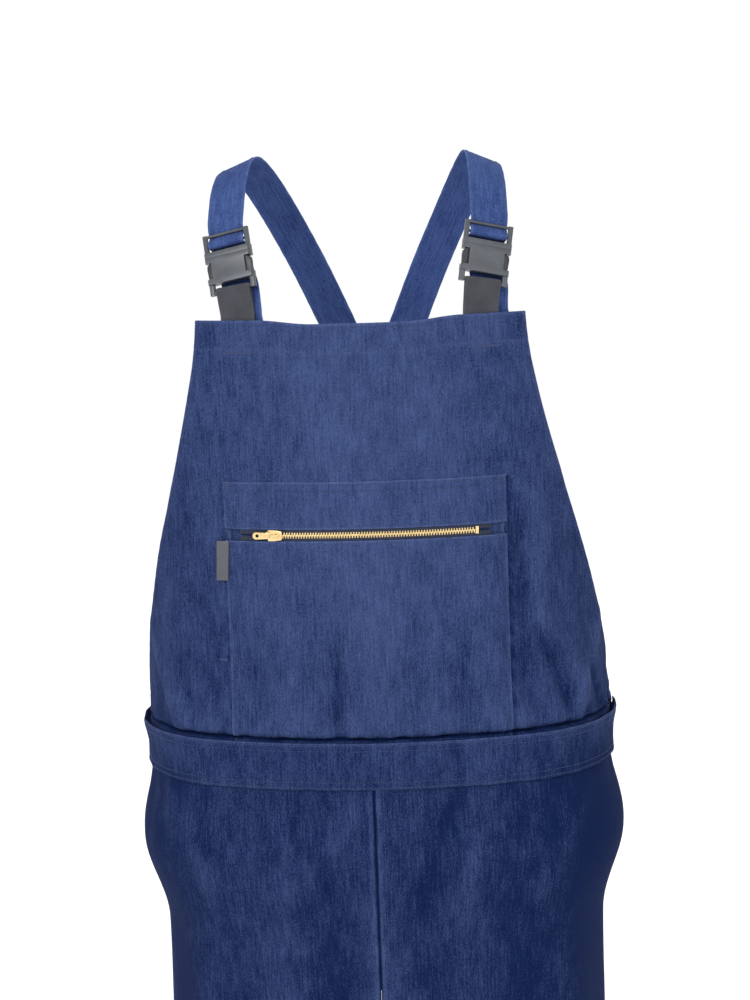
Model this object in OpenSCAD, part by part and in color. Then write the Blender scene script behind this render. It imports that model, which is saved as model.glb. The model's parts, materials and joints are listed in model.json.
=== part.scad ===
// Denim bib apron with crossed shoulder straps, a zipped bib pocket, a full
// waistband and two leg panels that part below the centre seam.
// It is modelled as it is worn. Front faces -Y, and left means -X.

/* [Garment] */
// Height of the bib, from the waist seam to its top edge
bib_h = 380; // [310:1:460]
// Width of the bib across its top edge
bib_top_w = 294; // [245:1:355]
// Dip of the bib's top edge between the two straps
bib_top_dip = 4; // [0:0.5:8]
// Width of the worn waist
waist_w = 434; // [360:1:525]
// Depth of the worn waist, from front to back
waist_d = 252; // [225:1:305]
// Height of the waistband
band_h = 43; // [36:1:52]
// Rise of the waistband at the centre back
band_back_rise = 22; // [8:1:30]
// Length of the leg panels, below the waist seam
skirt_h = 520; // [430:1:630]
// Length of the sewn centre seam, below the waist seam
centre_seam_h = 235; // [200:5:280]
// Depth of the turned-up hems
hem_h = 25; // [15:1:35]
// Thickness of one layer of denim
cloth_t = 1; // [0.8:0.05:1.2]

/* [Bib pocket] */
// Width of the pocket
pocket_w = 254; // [210:1:305]
// Height of the pocket's top edge, above the waist seam
pocket_top = 238; // [195:1:290]
// Drop from the pocket's top edge to the zip
zip_drop = 47; // [38:1:57]
// Gap between the two folded edges along the zip
zip_gap = 11; // [10.6:0.1:13]
// From the pocket's left edge to the closed slider
zip_inset_left = 47; // [38:1:57]
// From the pocket's right edge to the bottom stop
zip_inset_right = 27; // [22:1:33]
// Width of the label in the pocket's side seam
label_w = 11; // [8:0.5:14]
// Length of the label
label_h = 36; // [25:1:40]

/* [Straps] */
// Width of the denim shoulder straps
strap_w = 34; // [28:0.1:41]
// Thickness of a finished strap
strap_t = 2.4; // [1.8:0.01:2.9]
// From the bib's side edge to the middle of the webbing
strap_inset = 37.5; // [31:0.5:45]
// Height of the strap tops above the bib's edge
shoulder_rise = 134; // [120:1:150]
// How much narrower the grey webbing is than the strap
webbing_less = 2; // [1:0.5:4]
// Thickness of the webbing
webbing_t = 1.4; // [1:0.01:1.7]
// How far the left strap's loose end swings to the right behind its buckle
tail_swing_left = 10; // [0:1:14]
// How far the right strap's loose end swings to the right behind its buckle
tail_swing_right = 20; // [0:1:22]
// how far each loose strap end leans back from the buckle, clear of the webbing
tail_lean = 0.9; // [0.4:0.1:2]

/* [Buckle] */
// Width of the rails beside the strap
rail_w = 4.25; // [3.5:0.01:5.1]
// Thickness of the buckle
buckle_t = 9; // [7.5:0.1:10.8]
// Length of the socket's closed body
socket_l = 24; // [22:0.1:28.8]
// Open length of each slot that holds webbing or strap
slot_l = 5.5; // [4.5:0.01:6.6]
// Radius of the bar that carries the webbing
web_bar_r = 2; // [1.6:0.1:2.2]
// Radius of the two ladder bars that grip the strap
ladder_bar_r = 1.4; // [1.2:0.1:1.6]
// Travel of the clip out of the socket
release_travel = 26; // [22:1:30]

/* [Hidden] */
$fn = 48;

// Clearance between sewn layers, and between plastic parts that slide
layer_gap = 0.3;
slide_gap = 0.15;

// The strap tops are at the origin, so the waist seam lies this far below it
shoulder_h = bib_h + shoulder_rise;
zip_h = pocket_top - zip_drop;
webbing_w = strap_w - webbing_less;
strap_play = 0.75;
buckle_w = strap_w + 2 * (rail_w + strap_play);
web_x = bib_top_w / 2 - strap_inset;

// The worn shape: a wide oval of four arcs at each height above the waist seam.
// Stations are [height, half width] and [height, half depth].
front_r = 450;
half_waist = waist_w / 2;
half_deep = waist_d / 2;
width_stations = [[-skirt_h, half_waist - 12], [-200, half_waist - 11],
    [-120, half_waist + 13], [-band_h, half_waist - 1], [0, half_waist],
    [bib_h * 0.26, half_waist - 3], [bib_h * 0.66, half_waist - 9],
    [bib_h, half_waist - 13], [bib_h + 140, half_waist - 17]];
depth_stations = [[-skirt_h, half_deep - 6], [-200, half_deep - 2],
    [-120, half_deep + 3], [-band_h, half_deep + 0.5], [0, half_deep],
    [bib_h * 0.26, half_deep + 1.5], [bib_h * 0.5, half_deep + 2],
    [bib_h * 0.74, half_deep - 0.5], [bib_h, half_deep - 14], [bib_h + 30, half_deep - 20],
    [bib_h + 80, half_deep - 36], [bib_h + 140, half_deep - 66]];

// ---- curves ----
function clamp01(t) = max(0, min(1, t));
function smooth(t) = let (c = clamp01(t)) c * c * (3 - 2 * c);
function mix(a, b, t) = a + (b - a) * t;
function unit(v) = v / norm(v);
function slope(list, i) = let (a = list[max(i - 1, 0)], b = list[min(i + 1, len(list) - 1)])
    (b[1] - a[1]) / (b[0] - a[0]);
// Cubic curve through stations, at height z
function along(list, z, i = 0) = (i < len(list) - 2 && z > list[i + 1][0])
    ? along(list, z, i + 1)
    : let (a = list[i], b = list[i + 1], h = b[0] - a[0], t = clamp01((z - a[0]) / h))
        a[1] * (1 + 2 * t) * (1 - t) ^ 2 + slope(list, i) * h * t * (1 - t) ^ 2
        + b[1] * t ^ 2 * (3 - 2 * t) + slope(list, i + 1) * h * t ^ 2 * (t - 1);

function half_w(z) = along(width_stations, z);
function half_d(z) = along(depth_stations, z);
function side_r(z) = let (a = half_w(z), b = half_d(z))
    (2 * front_r * b - b * b - a * a) / (2 * (front_r - a));
function join_a(z) = acos((front_r - half_d(z)) / (front_r - side_r(z)));
function arc(r, a) = r * a * PI / 180;
function turn(s, r) = s / r * 180 / PI;
// Distance round the oval, from the centre front, at which it faces angle a
function reach(a, z) = let (j = join_a(z))
    a <= j ? arc(front_r, a) : arc(front_r, j) + arc(side_r(z), a - j);
// The same for a half width x on the front half
function reach_x(x, z) = let (j = join_a(z), r = side_r(z))
    x <= front_r * sin(j) ? arc(front_r, asin(x / front_r))
    : reach(asin(clamp01((x - (front_r - r) * sin(j)) / r)), z);
// Point at distance s round the oval, height z, lifted d outwards
function on_form(s, z, d) = let (q = abs(s), g = s < 0 ? -1 : 1, j = join_a(z), r = side_r(z),
        b = half_d(z), s1 = arc(front_r, j), s2 = s1 + arc(r, 180 - 2 * j),
        a = q <= s1 ? turn(q, front_r) : q <= s2 ? j + turn(q - s1, r)
            : 180 - j + turn(q - s2, front_r))
    q <= s1 ? [g * (front_r + d) * sin(a), front_r - b - (front_r + d) * cos(a), z]
    : q <= s2 ? [g * ((front_r - r) * sin(j) + (r + d) * sin(a)), -(r + d) * cos(a), z]
    : [g * (front_r + d) * sin(a), b - front_r - (front_r + d) * cos(a), z];
function on_front(x, z, d) = on_form((x < 0 ? -1 : 1) * reach_x(abs(x), z), z, d);
function on_back(x, z, d) = let (p = on_front(x, z, d)) [p[0], -p[1], z];
function out_front(x) = let (a = asin(x / front_r)) [sin(a), -cos(a), 0];
function out_back(x) = let (a = asin(x / front_r)) [sin(a), cos(a), 0];

// ---- sheets and ribbons ----
// A closed sheet: shape(u, v, side) gives a point, with side 0 inside and 1 outside
module sheet(nu, nv, shape) {
    row = nu + 1;
    face = row * (nv + 1);
    points = [for (side = [0, 1]) for (j = [0 : nv]) for (i = [0 : nu])
        shape(i / nu, j / nv, side)];
    quads = concat(
        [for (j = [0 : nv - 1]) for (i = [0 : nu - 1]) let (k = j * row + i)
            [k, k + row, k + row + 1, k + 1]],
        [for (j = [0 : nv - 1]) for (i = [0 : nu - 1]) let (k = face + j * row + i)
            [k, k + 1, k + row + 1, k + row]],
        [for (i = [0 : nu - 1]) [i, i + 1, face + i + 1, face + i]],
        [for (i = [0 : nu - 1]) let (k = nv * row + i) [k + 1, k, face + k, face + k + 1]],
        [for (j = [0 : nv - 1]) let (k = j * row) [k + row, k, face + k, face + k + row]],
        [for (j = [0 : nv - 1]) let (k = j * row + nu)
            [k, k + row, face + k + row, face + k]]);
    polyhedron(points, [for (q = quads) each [[q[0], q[1], q[2]], [q[0], q[2], q[3]]]]);
}

// A flat ribbon along stops, each [point, outward normal]
module ribbon(stops, w, t) {
    n = len(stops);
    points = [for (i = [0 : n - 1]) let (p = stops[i][0],
            d = unit(stops[min(i + 1, n - 1)][0] - stops[max(i - 1, 0)][0]),
            across = unit(cross(d, stops[i][1])), up = cross(across, d))
        each [for (c = [[-1, -1], [1, -1], [1, 1], [-1, 1]])
            p + across * c[0] * w / 2 + up * c[1] * t / 2]];
    sides = [for (i = [0 : n - 2]) for (c = [0 : 3]) let (k = 4 * i, m = (c + 1) % 4)
        each [[k + c, k + 4 + c, k + m], [k + m, k + 4 + c, k + 4 + m]]];
    ends = [[0, 1, 2], [0, 2, 3], [4 * n - 4, 4 * n - 2, 4 * n - 3],
        [4 * n - 4, 4 * n - 1, 4 * n - 2]];
    polyhedron(points, concat(sides, ends));
}

// Cubic curve through a list of stops, with each span cut into steps
function curve_at(p, i, t) = let (a = p[max(i - 1, 0)], b = p[i], c = p[i + 1],
        d = p[min(i + 2, len(p) - 1)])
    0.5 * (2 * b + (c - a) * t + (2 * a - 5 * b + 4 * c - d) * t ^ 2
        + (3 * b - a - 3 * c + d) * t ^ 3);
function curve(p, steps) = concat([for (i = [0 : len(p) - 2]) for (k = [0 : steps - 1])
    curve_at(p, i, k / steps)], [p[len(p) - 1]]);

// ---- denim layers, as [inside, outside] distances from the worn shape ----
bib_layer = [-cloth_t / 2, cloth_t / 2];
facing_layer = bib_layer - [1, 1] * (cloth_t + 2 * layer_gap);
pocket_layer = bib_layer + [1, 1] * (cloth_t + layer_gap);
back_band_layer = bib_layer + [1, 1] * (cloth_t + 4 * layer_gap);
band_layer = back_band_layer + [1, 1] * (cloth_t + 2 * layer_gap);

denim = "#3a4a7c";
denim_inside = "#8f9bb8";
charcoal = "#4c5056";
brass = "#caa765";

// ---- bib ----
bib_low = band_h * 0.42;
bib_waist_w = 2 * half_w(0);
function bib_half(z) = bib_top_w / 2
    + (bib_waist_w - bib_top_w) / 2 * cos(90 * clamp01(z / bib_h)) ^ 1.6;
function bib_top(x) = bib_h - bib_top_dip * (1 - smooth((abs(x) - 40) / 50));
// Bib coordinates: u from the left edge to the right, z the height
function bib_s(u, z) = (2 * u - 1) * reach_x(min(bib_half(max(z, 0)), half_w(z)), z);

module bib_panel() color(denim)
    sheet(30, 15, function (u, v, side) let (
        z = mix(-bib_low, bib_top((2 * u - 1) * bib_top_w / 2), v))
        on_form(bib_s(u, z), z, bib_layer[side]));

facing_h = 28;
side_facing_w = 13;
module bib_top_facing() color(denim_inside)
    sheet(22, 2, function (u, v, side) let (
        top = bib_top((2 * u - 1) * bib_top_w / 2), z = mix(top - facing_h, top - 1, v))
        on_form(bib_s(u, z) * 0.985, z, facing_layer[side]));

module bib_side_facing(g) color(denim_inside)
    sheet(2, 14, function (u, v, side) let (
        z = mix(layer_gap, bib_h - facing_h - 3, v), edge = bib_s(1, z) - 1.5)
        on_form(g * (edge - side_facing_w * (g > 0 ? 1 - u : u)), z,
            facing_layer[side] - 2 * layer_gap));

// ---- bib pocket ----
tape_w = 15;
tape_t = 0.6;
tape_end = 15;
slider_w = 10;
plate_t = 0.8;
tooth_t = 2.2;
chain_w = 5.2;
tooth_pitch = 2.4;
// Heights above the worn shape of the slider's plates and the teeth between them
slider_back = bib_layer[1] + layer_gap;
teeth_back = slider_back + plate_t + slide_gap;
teeth_front = teeth_back + tooth_t;
slider_front = teeth_front + slide_gap + plate_t;
tape_back = (teeth_back + teeth_front - tape_t) / 2;
pocket_rise = tape_back + tape_t + 2 * layer_gap - pocket_layer[0];

// The pocket lies flat on the bib and rises over the zip's tapes
function pocket_lift(s, z) = pocket_rise
    * smooth((pocket_w / 2 - abs(s)) / (tape_end - 1))
    * smooth((zip_gap + 30 - abs(z - zip_h)) / 22);
function pocket_point(s, z, side) = on_form(s, z, pocket_layer[side] + pocket_lift(s, z));

module pocket_upper_strip() color(denim)
    sheet(24, 3, function (u, v, side) pocket_point((u - 0.5) * pocket_w,
        mix(zip_h + zip_gap / 2, pocket_top, v), side));

module pocket_front() color(denim)
    sheet(24, 9, function (u, v, side) pocket_point((u - 0.5) * pocket_w,
        mix(-bib_low, zip_h - zip_gap / 2, 1 - (1 - v) ^ 1.6), side));

module label_tab() color("#77777c")
    sheet(2, 3, function (u, v, side) on_form(-pocket_w / 2 + label_w * (0.35 - u),
        zip_h - 6 - label_h * (1 - v), pocket_layer[1] + 3 * layer_gap + 0.6 * side));

// Bar tacks at the pocket's corners and above the webbing ends
module bar_tack(x, z, d, w, h) translate(on_front(x, z, d)) rotate([0, 0, asin(x / front_r)])
    translate([-w / 2, -0.8, -h / 2]) cube([w, 0.8, h]);
module bar_tacks() color("#5f7db8") {
    for (g = [-1, 1]) {
        bar_tack(g * (pocket_w / 2 - 4), pocket_top - 2, pocket_layer[1] + 2 * layer_gap, 7, 1.8);
        bar_tack(g * web_x, bib_h - facing_h, bib_layer[1] + 0.1, webbing_w - 4, 1.8);
    }
    bar_tack(-pocket_w / 2 - 8, 75, bib_layer[1] + 0.1, 9, 2.4);
}

// ---- zip, set out along an arc about a vertical axis behind the bib ----
zip_cy = front_r - half_d(zip_h);
chain_r = front_r + (teeth_back + teeth_front) / 2;
zip_rest = -pocket_w / 2 + zip_inset_left;
chain_start = zip_rest + 0.5;
chain_end = pocket_w / 2 - zip_inset_right;
// Children use x along the chain, z across it and -y outwards, from the worn shape
module on_zip(s) translate([0, zip_cy, zip_h]) rotate([0, 0, turn(s, chain_r)])
    translate([0, -front_r, 0]) children();
// A block between two distances from the worn shape
module zip_block(x0, x1, z0, z1, d0, d1) translate([x0, -d1, z0])
    cube([x1 - x0, d1 - d0, z1 - z0]);

module zip_tape(g) color("#26304f") translate([0, zip_cy, zip_h])
    rotate([0, 0, -90 - turn(pocket_w / 2 - tape_end, chain_r)])
    rotate_extrude(angle = 2 * turn(pocket_w / 2 - tape_end, chain_r), $fn = 180)
    translate([front_r + tape_back, g > 0 ? 1.2 : -tape_w])
    square([tape_t, tape_w - 1.2]);

module zip_teeth(g) color(brass) {
    n = floor((chain_end - chain_start - 3) / tooth_pitch);
    for (i = [0 : n]) on_zip(chain_start + (i + (g > 0 ? 0.25 : 0.75)) * tooth_pitch)
        difference() {
            zip_block(-0.55, 0.55, g > 0 ? -0.8 : -chain_w / 2, g > 0 ? chain_w / 2 : 0.8,
                teeth_back, teeth_front);
            // The slot that bites the tape's edge
            zip_block(-1, 1, g > 0 ? 1.1 : -chain_w, g > 0 ? chain_w : -1.1,
                tape_back - 0.02, tape_back + tape_t + 0.02);
        }
}

module zip_top_stops() color(brass) for (g = [-1, 1]) on_zip(zip_rest - 8)
    difference() {
        zip_block(-1, 1, g > 0 ? 0.9 : -3, g > 0 ? 3 : -0.9, teeth_back, teeth_front);
        zip_block(-2, 2, g > 0 ? 1.1 : -4, g > 0 ? 4 : -1.1, tape_back - 0.05,
            tape_back + tape_t + 0.05);
    }

module zip_bottom_stop() color(brass) on_zip(chain_end) difference() {
    zip_block(-1.4, 1.4, -3.4, 3.4, teeth_back, teeth_front);
    for (g = [-1, 1]) zip_block(-2, 2, g > 0 ? 1.1 : -4, g > 0 ? 4 : -1.1,
        tape_back - 0.02, tape_back + tape_t + 0.02);
}

// Outline of the slider, wide at the mouths and narrow at the chain
module slider_outline(inset = 0) polygon([for (p = [[-6.5, 4.2], [-5.5, 5], [0, 4.8],
    [5.6, 4], [6.5, 3.2], [6.5, -3.2], [5.6, -4], [0, -4.8], [-5.5, -5], [-6.5, -4.2]])
    [p[0], p[1] - sign(p[1]) * inset]]);
module slider_slab(d0, d1) translate([0, -d0, 0]) rotate([90, 0, 0])
    linear_extrude(d1 - d0) children();
module slider_channel() polygon([[-7, 4], [-3, 3.6], [0, chain_w / 2 + slide_gap],
    [7, chain_w / 2 + slide_gap], [7, -chain_w / 2 - slide_gap],
    [0, -chain_w / 2 - slide_gap], [-3, -3.6], [-7, -4]]);
bail_x = 3.5;
bail_t = 0.8;
bail_w = 2.2;
pin_r = 0.7;
pin_d = slider_front + 1;
bail_top = pin_d + pin_r + slide_gap + bail_t;
module zip_slider() color(brass) on_zip(zip_rest) {
    difference() {
        slider_slab(slider_back, slider_front) slider_outline();
        slider_slab(slider_back + plate_t, slider_front - plate_t) slider_channel();
        // Side slots that let the tapes out
        zip_block(-8, 8, -8, 8, tape_back - 0.2, tape_back + tape_t + 0.2);
    }
    // The wedge that parts the two rows and ties the plates together
    slider_slab(slider_back + plate_t / 2, slider_front - plate_t / 2)
        polygon([[-6.3, 0.5], [-4.4, 0.85], [-1.2, 0.3], [-1.2, -0.3], [-4.4, -0.85], [-6.3, -0.5]]);
    // The bail that holds the pull tab
    difference() {
        zip_block(-bail_x, bail_x, -bail_w / 2, bail_w / 2, slider_front - 0.2, bail_top);
        zip_block(-bail_x + bail_t, bail_x - bail_t, -bail_w, bail_w,
            slider_front, bail_top - bail_t);
    }
}

tab_l = 20;
tab_w = 6.4;
tab_t = 1.2;
tab_eye_r = 1.5;
tab_eye_x = tab_l - 4.2;
yoke_w = bail_w / 2 + slide_gap + 0.15;
module zip_pull_tab() color(brass) on_zip(zip_rest) translate([0, -pin_d, 0]) {
    translate([0, 0, -yoke_w - 0.9]) cylinder(r = pin_r, h = 2 * yoke_w + 1.8);
    rotate([90, 0, 0]) translate([0, 0, -tab_t / 2]) linear_extrude(tab_t) difference() {
        union() {
            polygon([[-tab_l + 3, tab_w / 2], [-6, tab_w / 2 - 0.6], [-0.6, yoke_w + 0.9],
                [0.6, yoke_w + 0.9], [0.6, -yoke_w - 0.9], [-0.6, -yoke_w - 0.9],
                [-6, -tab_w / 2 + 0.6], [-tab_l + 3, -tab_w / 2]]);
            translate([-tab_l + tab_w / 2, 0]) circle(tab_w / 2);
        }
        translate([-tab_eye_x, 0]) circle(tab_eye_r);
        // The window that straddles the bail
        polygon([[-bail_x - 0.8, yoke_w], [1, yoke_w], [1, -yoke_w], [-bail_x - 0.8, -yoke_w]]);
    }
}

// ---- waistband ----
band_end_a = 101;
back_start_a = 94;
elastic_start_a = 128;
function back_rise(a) = band_back_rise * smooth((a - 85) / 60) + 5 * smooth((a - 80) / 12);
// Distance round the waist at which it faces angle a, from front to back
function reach_full(a) = let (j = join_a(0))
    a <= 180 - j ? reach(a, 0) : reach(180 - j, 0) + arc(front_r, a - 180 + j);

module waistband_front() color(denim)
    sheet(56, 2, function (u, v, side) on_form(mix(-1, 1, u) * reach(band_end_a, 0),
        mix(-band_h, 0, v), band_layer[side]));
module waistband_front_facing() color(denim_inside)
    sheet(52, 2, function (u, v, side) on_form(mix(-1, 1, u) * reach(back_start_a - 2, 0),
        mix(-band_h + 1, -1, v), facing_layer[side] - layer_gap));
// Round the back, the angle runs from one side through 180 degrees to the other
function back_point(u, v, start, low, layer, side) = let (
    a = mix(start, 360 - start, u), q = a <= 180 ? a : 360 - a)
    on_form((a <= 180 ? 1 : -1) * reach_full(q), mix(low, back_rise(q), v), layer[side]);
module waistband_back() color(denim)
    sheet(36, 2, function (u, v, side)
        back_point(u, v, back_start_a, -band_h, back_band_layer, side));
module waistband_back_facing() color(denim_inside)
    sheet(36, 2, function (u, v, side)
        back_point(u, v, back_start_a, -band_h, facing_layer, side));
module waist_elastic() color("#e9e9e4")
    sheet(24, 1, function (u, v, side) back_point(u, v * 0.8, elastic_start_a,
        -band_h + 4, bib_layer * 0.8, side));

// ---- leg panels ----
panel_top = bib_low + 3;
panel_wrap_a = 117;
leg_x = waist_w / 4 - 0.5;
leg_y = -4;
leg_rx = waist_w / 4 - 10.5;
leg_ry = half_deep - 14;
leg_in_a = -66;
leg_out_a = 126;
seam_gap = 0.2;
// Shape of one thigh, from the inner edge (u = 0) round the front to the outer edge
function on_leg(u, z, d) = let (a = mix(leg_in_a, leg_out_a, u))
    [leg_x + (leg_rx + d) * sin(a), leg_y - (leg_ry + d) * cos(a), z];
// How far the panel has left the hips' oval for the thigh's
function leg_share(u, z) = mix(smooth((-z - centre_seam_h) / (skirt_h - centre_seam_h)),
    smooth((-z - 60) / 320), smooth(u * 1.2));
function leg_point(g, u, z, d) = let (
    p = mix(on_form(mix(seam_gap, reach(panel_wrap_a, z), u), z, d), on_leg(u, z, d),
        leg_share(u, z)))
    [g * p[0], p[1], z];
function side_u(g, u) = g > 0 ? u : 1 - u;
module leg_panel(g) color(denim)
    sheet(22, 16, function (u, v, side)
        leg_point(g, side_u(g, u), mix(-skirt_h, -panel_top, v), bib_layer[side]));
module leg_hem(g) color(denim_inside)
    sheet(22, 1, function (u, v, side) leg_point(g, mix(0.01, 0.99, side_u(g, u)),
        mix(-skirt_h + 1, hem_h - skirt_h, v), facing_layer[side]));
module centre_seam_tape() color(denim_inside)
    sheet(2, 8, function (u, v, side) on_form((u - 0.5) * 18,
        mix(-centre_seam_h, -band_h - 1, v), facing_layer[side]));

// ---- buckle, drawn flat: x across, y up the strap, z outwards, from the socket's mouth ----
shoulder_l = 5;
mid_bar_y = shoulder_l + slot_l + ladder_bar_r - 0.1;
top_bar_y = mid_bar_y + slot_l + 2 * ladder_bar_r;
web_bar_y = -socket_l - slot_l - web_bar_r;
cavity_w = buckle_w - 6;
cavity_t = buckle_t - 3.6;
core_w = buckle_w - 12;
arm_root_x = cavity_w / 2 - 3.2;
arm_root_y = 1.6;
arm_root_r = 1.7;
arm_t = cavity_t - 0.8;
window_top = -4.5;
window_low = -socket_l + 5;

// A flat block with its four upright corners rounded
module round_block(w, y0, y1, t, r) translate([-w / 2 + r, y0 + r, -t / 2])
    linear_extrude(t) offset(r) square([w - 2 * r, y1 - y0 - 2 * r]);
module plain_block(w, y0, y1, t) translate([-w / 2, y0, -t / 2]) cube([w, y1 - y0, t]);
// A bar across the buckle between its rails
module cross_bar(y, r) translate([-buckle_w / 2 + 1, y, 0]) rotate([0, 90, 0])
    cylinder(r = r, h = buckle_w - 2);
// A block with corners cut at 45 degrees on its long edges
module chamfer_block(w, y0, y1, t, c) translate([0, y1, 0]) rotate([90, 0, 0])
    linear_extrude(y1 - y0) polygon([[-w / 2, -t / 2 + c], [-w / 2 + c, -t / 2],
        [w / 2 - c, -t / 2], [w / 2, -t / 2 + c], [w / 2, t / 2 - c], [w / 2 - c, t / 2],
        [-w / 2 + c, t / 2], [-w / 2, t / 2 - c]]);

module buckle_socket() color(charcoal) {
    difference() {
        chamfer_block(buckle_w, -socket_l, 0, buckle_t, 1.6);
        plain_block(cavity_w, -socket_l + 2.5, 1, cavity_t);
        // Side windows that bare the release arms
        for (g = [-1, 1]) translate([g * (core_w / 2 + 10), 0, 0])
            plain_block(20, window_low, window_top, buckle_t + 1);
    }
    // Side struts and the bar that carries the webbing
    for (g = [-1, 1]) translate([g * (buckle_w / 2 - 2.4), 0, 0])
        chamfer_block(4.8, web_bar_y - web_bar_r, -socket_l + 1, 2 * web_bar_r + 0.8, 0.8);
    cross_bar(web_bar_y, web_bar_r);
}

module buckle_clip() color(charcoal) {
    difference() {
        chamfer_block(buckle_w, slide_gap, shoulder_l, buckle_t, 1.6);
        // Round seats for the roots of the two release arms
        for (g = [-1, 1]) translate([g * arm_root_x, arm_root_y, -arm_t / 2 - 0.2]) {
            cylinder(r = arm_root_r + 0.1, h = arm_t + 0.4);
            translate([-arm_root_r - 0.6, -4, 0]) cube([2 * arm_root_r + 1.2, 4, arm_t + 0.4]);
        }
    }
    for (g = [-1, 1]) translate([g * (buckle_w - rail_w) / 2, 0, 0])
        chamfer_block(rail_w, shoulder_l - 1, top_bar_y + ladder_bar_r, 2 * ladder_bar_r + 0.6, 0.5);
    cross_bar(mid_bar_y, ladder_bar_r);
    cross_bar(top_bar_y, ladder_bar_r);
    // The flat tongue that guides the clip into the socket
    plain_block(8, -socket_l + 4, 1, cavity_t - 2 * slide_gap - 1);
}

// One springy release arm, on the side of positive x
module release_arm() color("#5b6068") translate([0, 0, -arm_t / 2]) {
    translate([arm_root_x, arm_root_y, 0]) cylinder(r = arm_root_r, h = arm_t);
    linear_extrude(arm_t) polygon([[arm_root_x - 1, 1], [arm_root_x + 1.3, 1],
        [cavity_w / 2 - 1.4, -2.5], [cavity_w / 2 - 0.4, window_top - 0.4],
        [buckle_w / 2 - 1, window_top - 2], [buckle_w / 2 - 0.6, -10],
        [buckle_w / 2 - 1.2, window_low + 0.4], [cavity_w / 2 - 0.6, window_low + 0.2],
        [cavity_w / 2 - 4.2, -socket_l + 3.4], [cavity_w / 2 - 5, -15], [arm_root_x - 1, -4]]);
}

// Where the buckle sits: its webbing bar low on the chest, its top bar higher and further out
web_bar_at = on_front(web_x, bib_h + 28, 2.2);
top_bar_at = on_front(web_x + 7, bib_h + 77, 2.6);
buckle_v = unit(top_bar_at - web_bar_at);
buckle_w_axis = let (n = out_front(web_x + 3)) unit(n - (n * buckle_v) * buckle_v);
buckle_u = cross(buckle_v, buckle_w_axis);
buckle_o = web_bar_at - web_bar_y * buckle_v;
function in_buckle(u, v, w) = buckle_o + u * buckle_u + v * buckle_v + w * buckle_w_axis;
module at_buckle() multmatrix([for (i = [0 : 2])
    [buckle_u[i], buckle_v[i], buckle_w_axis[i], buckle_o[i]]]) children();
module on_side(g) if (g > 0) children(); else mirror([1, 0, 0]) children();

// ---- webbing loop: down behind the bib, and round the socket's bar ----
ply_front = facing_layer[0] - 2 * layer_gap - webbing_t / 2;
ply_back = ply_front - webbing_t - 0.2;
loop_r = web_bar_r + 0.25 + webbing_t / 2;
function web_stop(x, z, d) = [on_front(x, z, d), out_front(x)];
function local_stop(u, v, w, tilt) = [in_buckle(u, v, w),
    sin(tilt) * buckle_v + cos(tilt) * buckle_w_axis];
module webbing_loop() color(charcoal) ribbon(web_path(), webbing_w, webbing_t);
// Angle 0 is the bar's front, 90 its top, 180 its back
function round_bar(y, r, a) = [in_buckle(0, y + r * sin(a), r * cos(a)),
    sin(a) * buckle_v + cos(a) * buckle_w_axis];
function web_path() = concat(
    [for (z = [-34, -16, 0]) web_stop(web_x - 1, bib_h + z, ply_front)],
    [web_stop(web_x - 0.6, bib_h + 10, ply_front + 1)],
    [for (a = [-35 : 20 : 205]) round_bar(web_bar_y, loop_r, a)],
    [let (s = web_stop(web_x - 0.6, bib_h + 10, ply_back + 0.4)) [s[0], -s[1]]],
    [for (z = [0, -16, -34]) let (s = web_stop(web_x - 1, bib_h + z, ply_back)) [s[0], -s[1]]]);

// ---- denim strap: loose tail, ladder, shoulder, crossing and waistband ----
grip_r = ladder_bar_r + 0.3 + strap_t / 2;
tail_w = -buckle_t / 2 - 2 * layer_gap - strap_t / 2;
tail_d = ply_back - webbing_t / 2 - 6 * layer_gap - strap_t / 2;
// Crossing offset: the left strap lies outside the right one
function lift(g) = (g > 0 ? -0.5 : 0.5) * (strap_t + 4 * layer_gap);
end_d = facing_layer[0] - 4 * layer_gap - strap_t / 2;
// Shoulder points, and the direction in which the strap faces at each
shoulder_stops = [for (m = [
    [[7.5, 55 - half_deep, -44], [0.26, -0.83, 0.49]],
    [[6, 78 - half_deep, -18], [0.28, -0.62, 0.73]],
    [[2.5, -14, -2.5], [0.38, -0.22, 0.90]],
    [[-3.5, 24, -5], [0.44, 0.22, 0.87]],
    [[-14.5, half_deep - 66, -25], [0.38, 0.62, 0.68]],
    [[-31.5, half_deep - 38, -61], [0.26, 0.86, 0.43]],
    [[-53.5, half_deep - 22, -109], [0.14, 0.96, 0.22]]])
    [m[0] + [web_x, 0, shoulder_h], m[1]]];
// Points down the back, as [x, share of the shoulder's height], to the other side's waist
back_marks = [for (m = [[31, 0.671], [5, 0.549], [-22, 0.418], [-49, 0.284], [-76, 0.148],
    [-98, 0.043], [-111, -0.027]]) [m[0], m[1] * shoulder_h]];
function ladder_stops() = concat(
    // Over the front of the middle bar
    [for (a = [0 : 25 : 150]) [in_buckle(0, mid_bar_y - grip_r * cos(a), grip_r * sin(a)),
        -cos(a) * buckle_v + sin(a) * buckle_w_axis]],
    // Behind the top bar
    [for (a = [30 : 20 : 90]) [in_buckle(0, top_bar_y - grip_r * cos(a), -grip_r * sin(a)),
        cos(a) * buckle_v + sin(a) * buckle_w_axis]]);
function tail_swing(g) = g > 0 ? tail_swing_right : -tail_swing_left;
function tail_stops(g) = concat(
    [for (z = [-34, -18, 0]) let (x = web_x - 1 + tail_swing(g) * (30 - z) / 64)
        web_stop(x, bib_h + z, tail_d)],
    [for (v = [-34, -20, -6, 3]) let (down = clamp01(-v / 34))
        local_stop(tail_swing(g) * 0.45 * down, v, tail_w - tail_lean * down, 0)],
    [local_stop(0, mid_bar_y - grip_r - 1.5, tail_w + 0.4, -45),
        local_stop(0, mid_bar_y - grip_r - 0.3, -3.1, -80)]);
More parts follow.
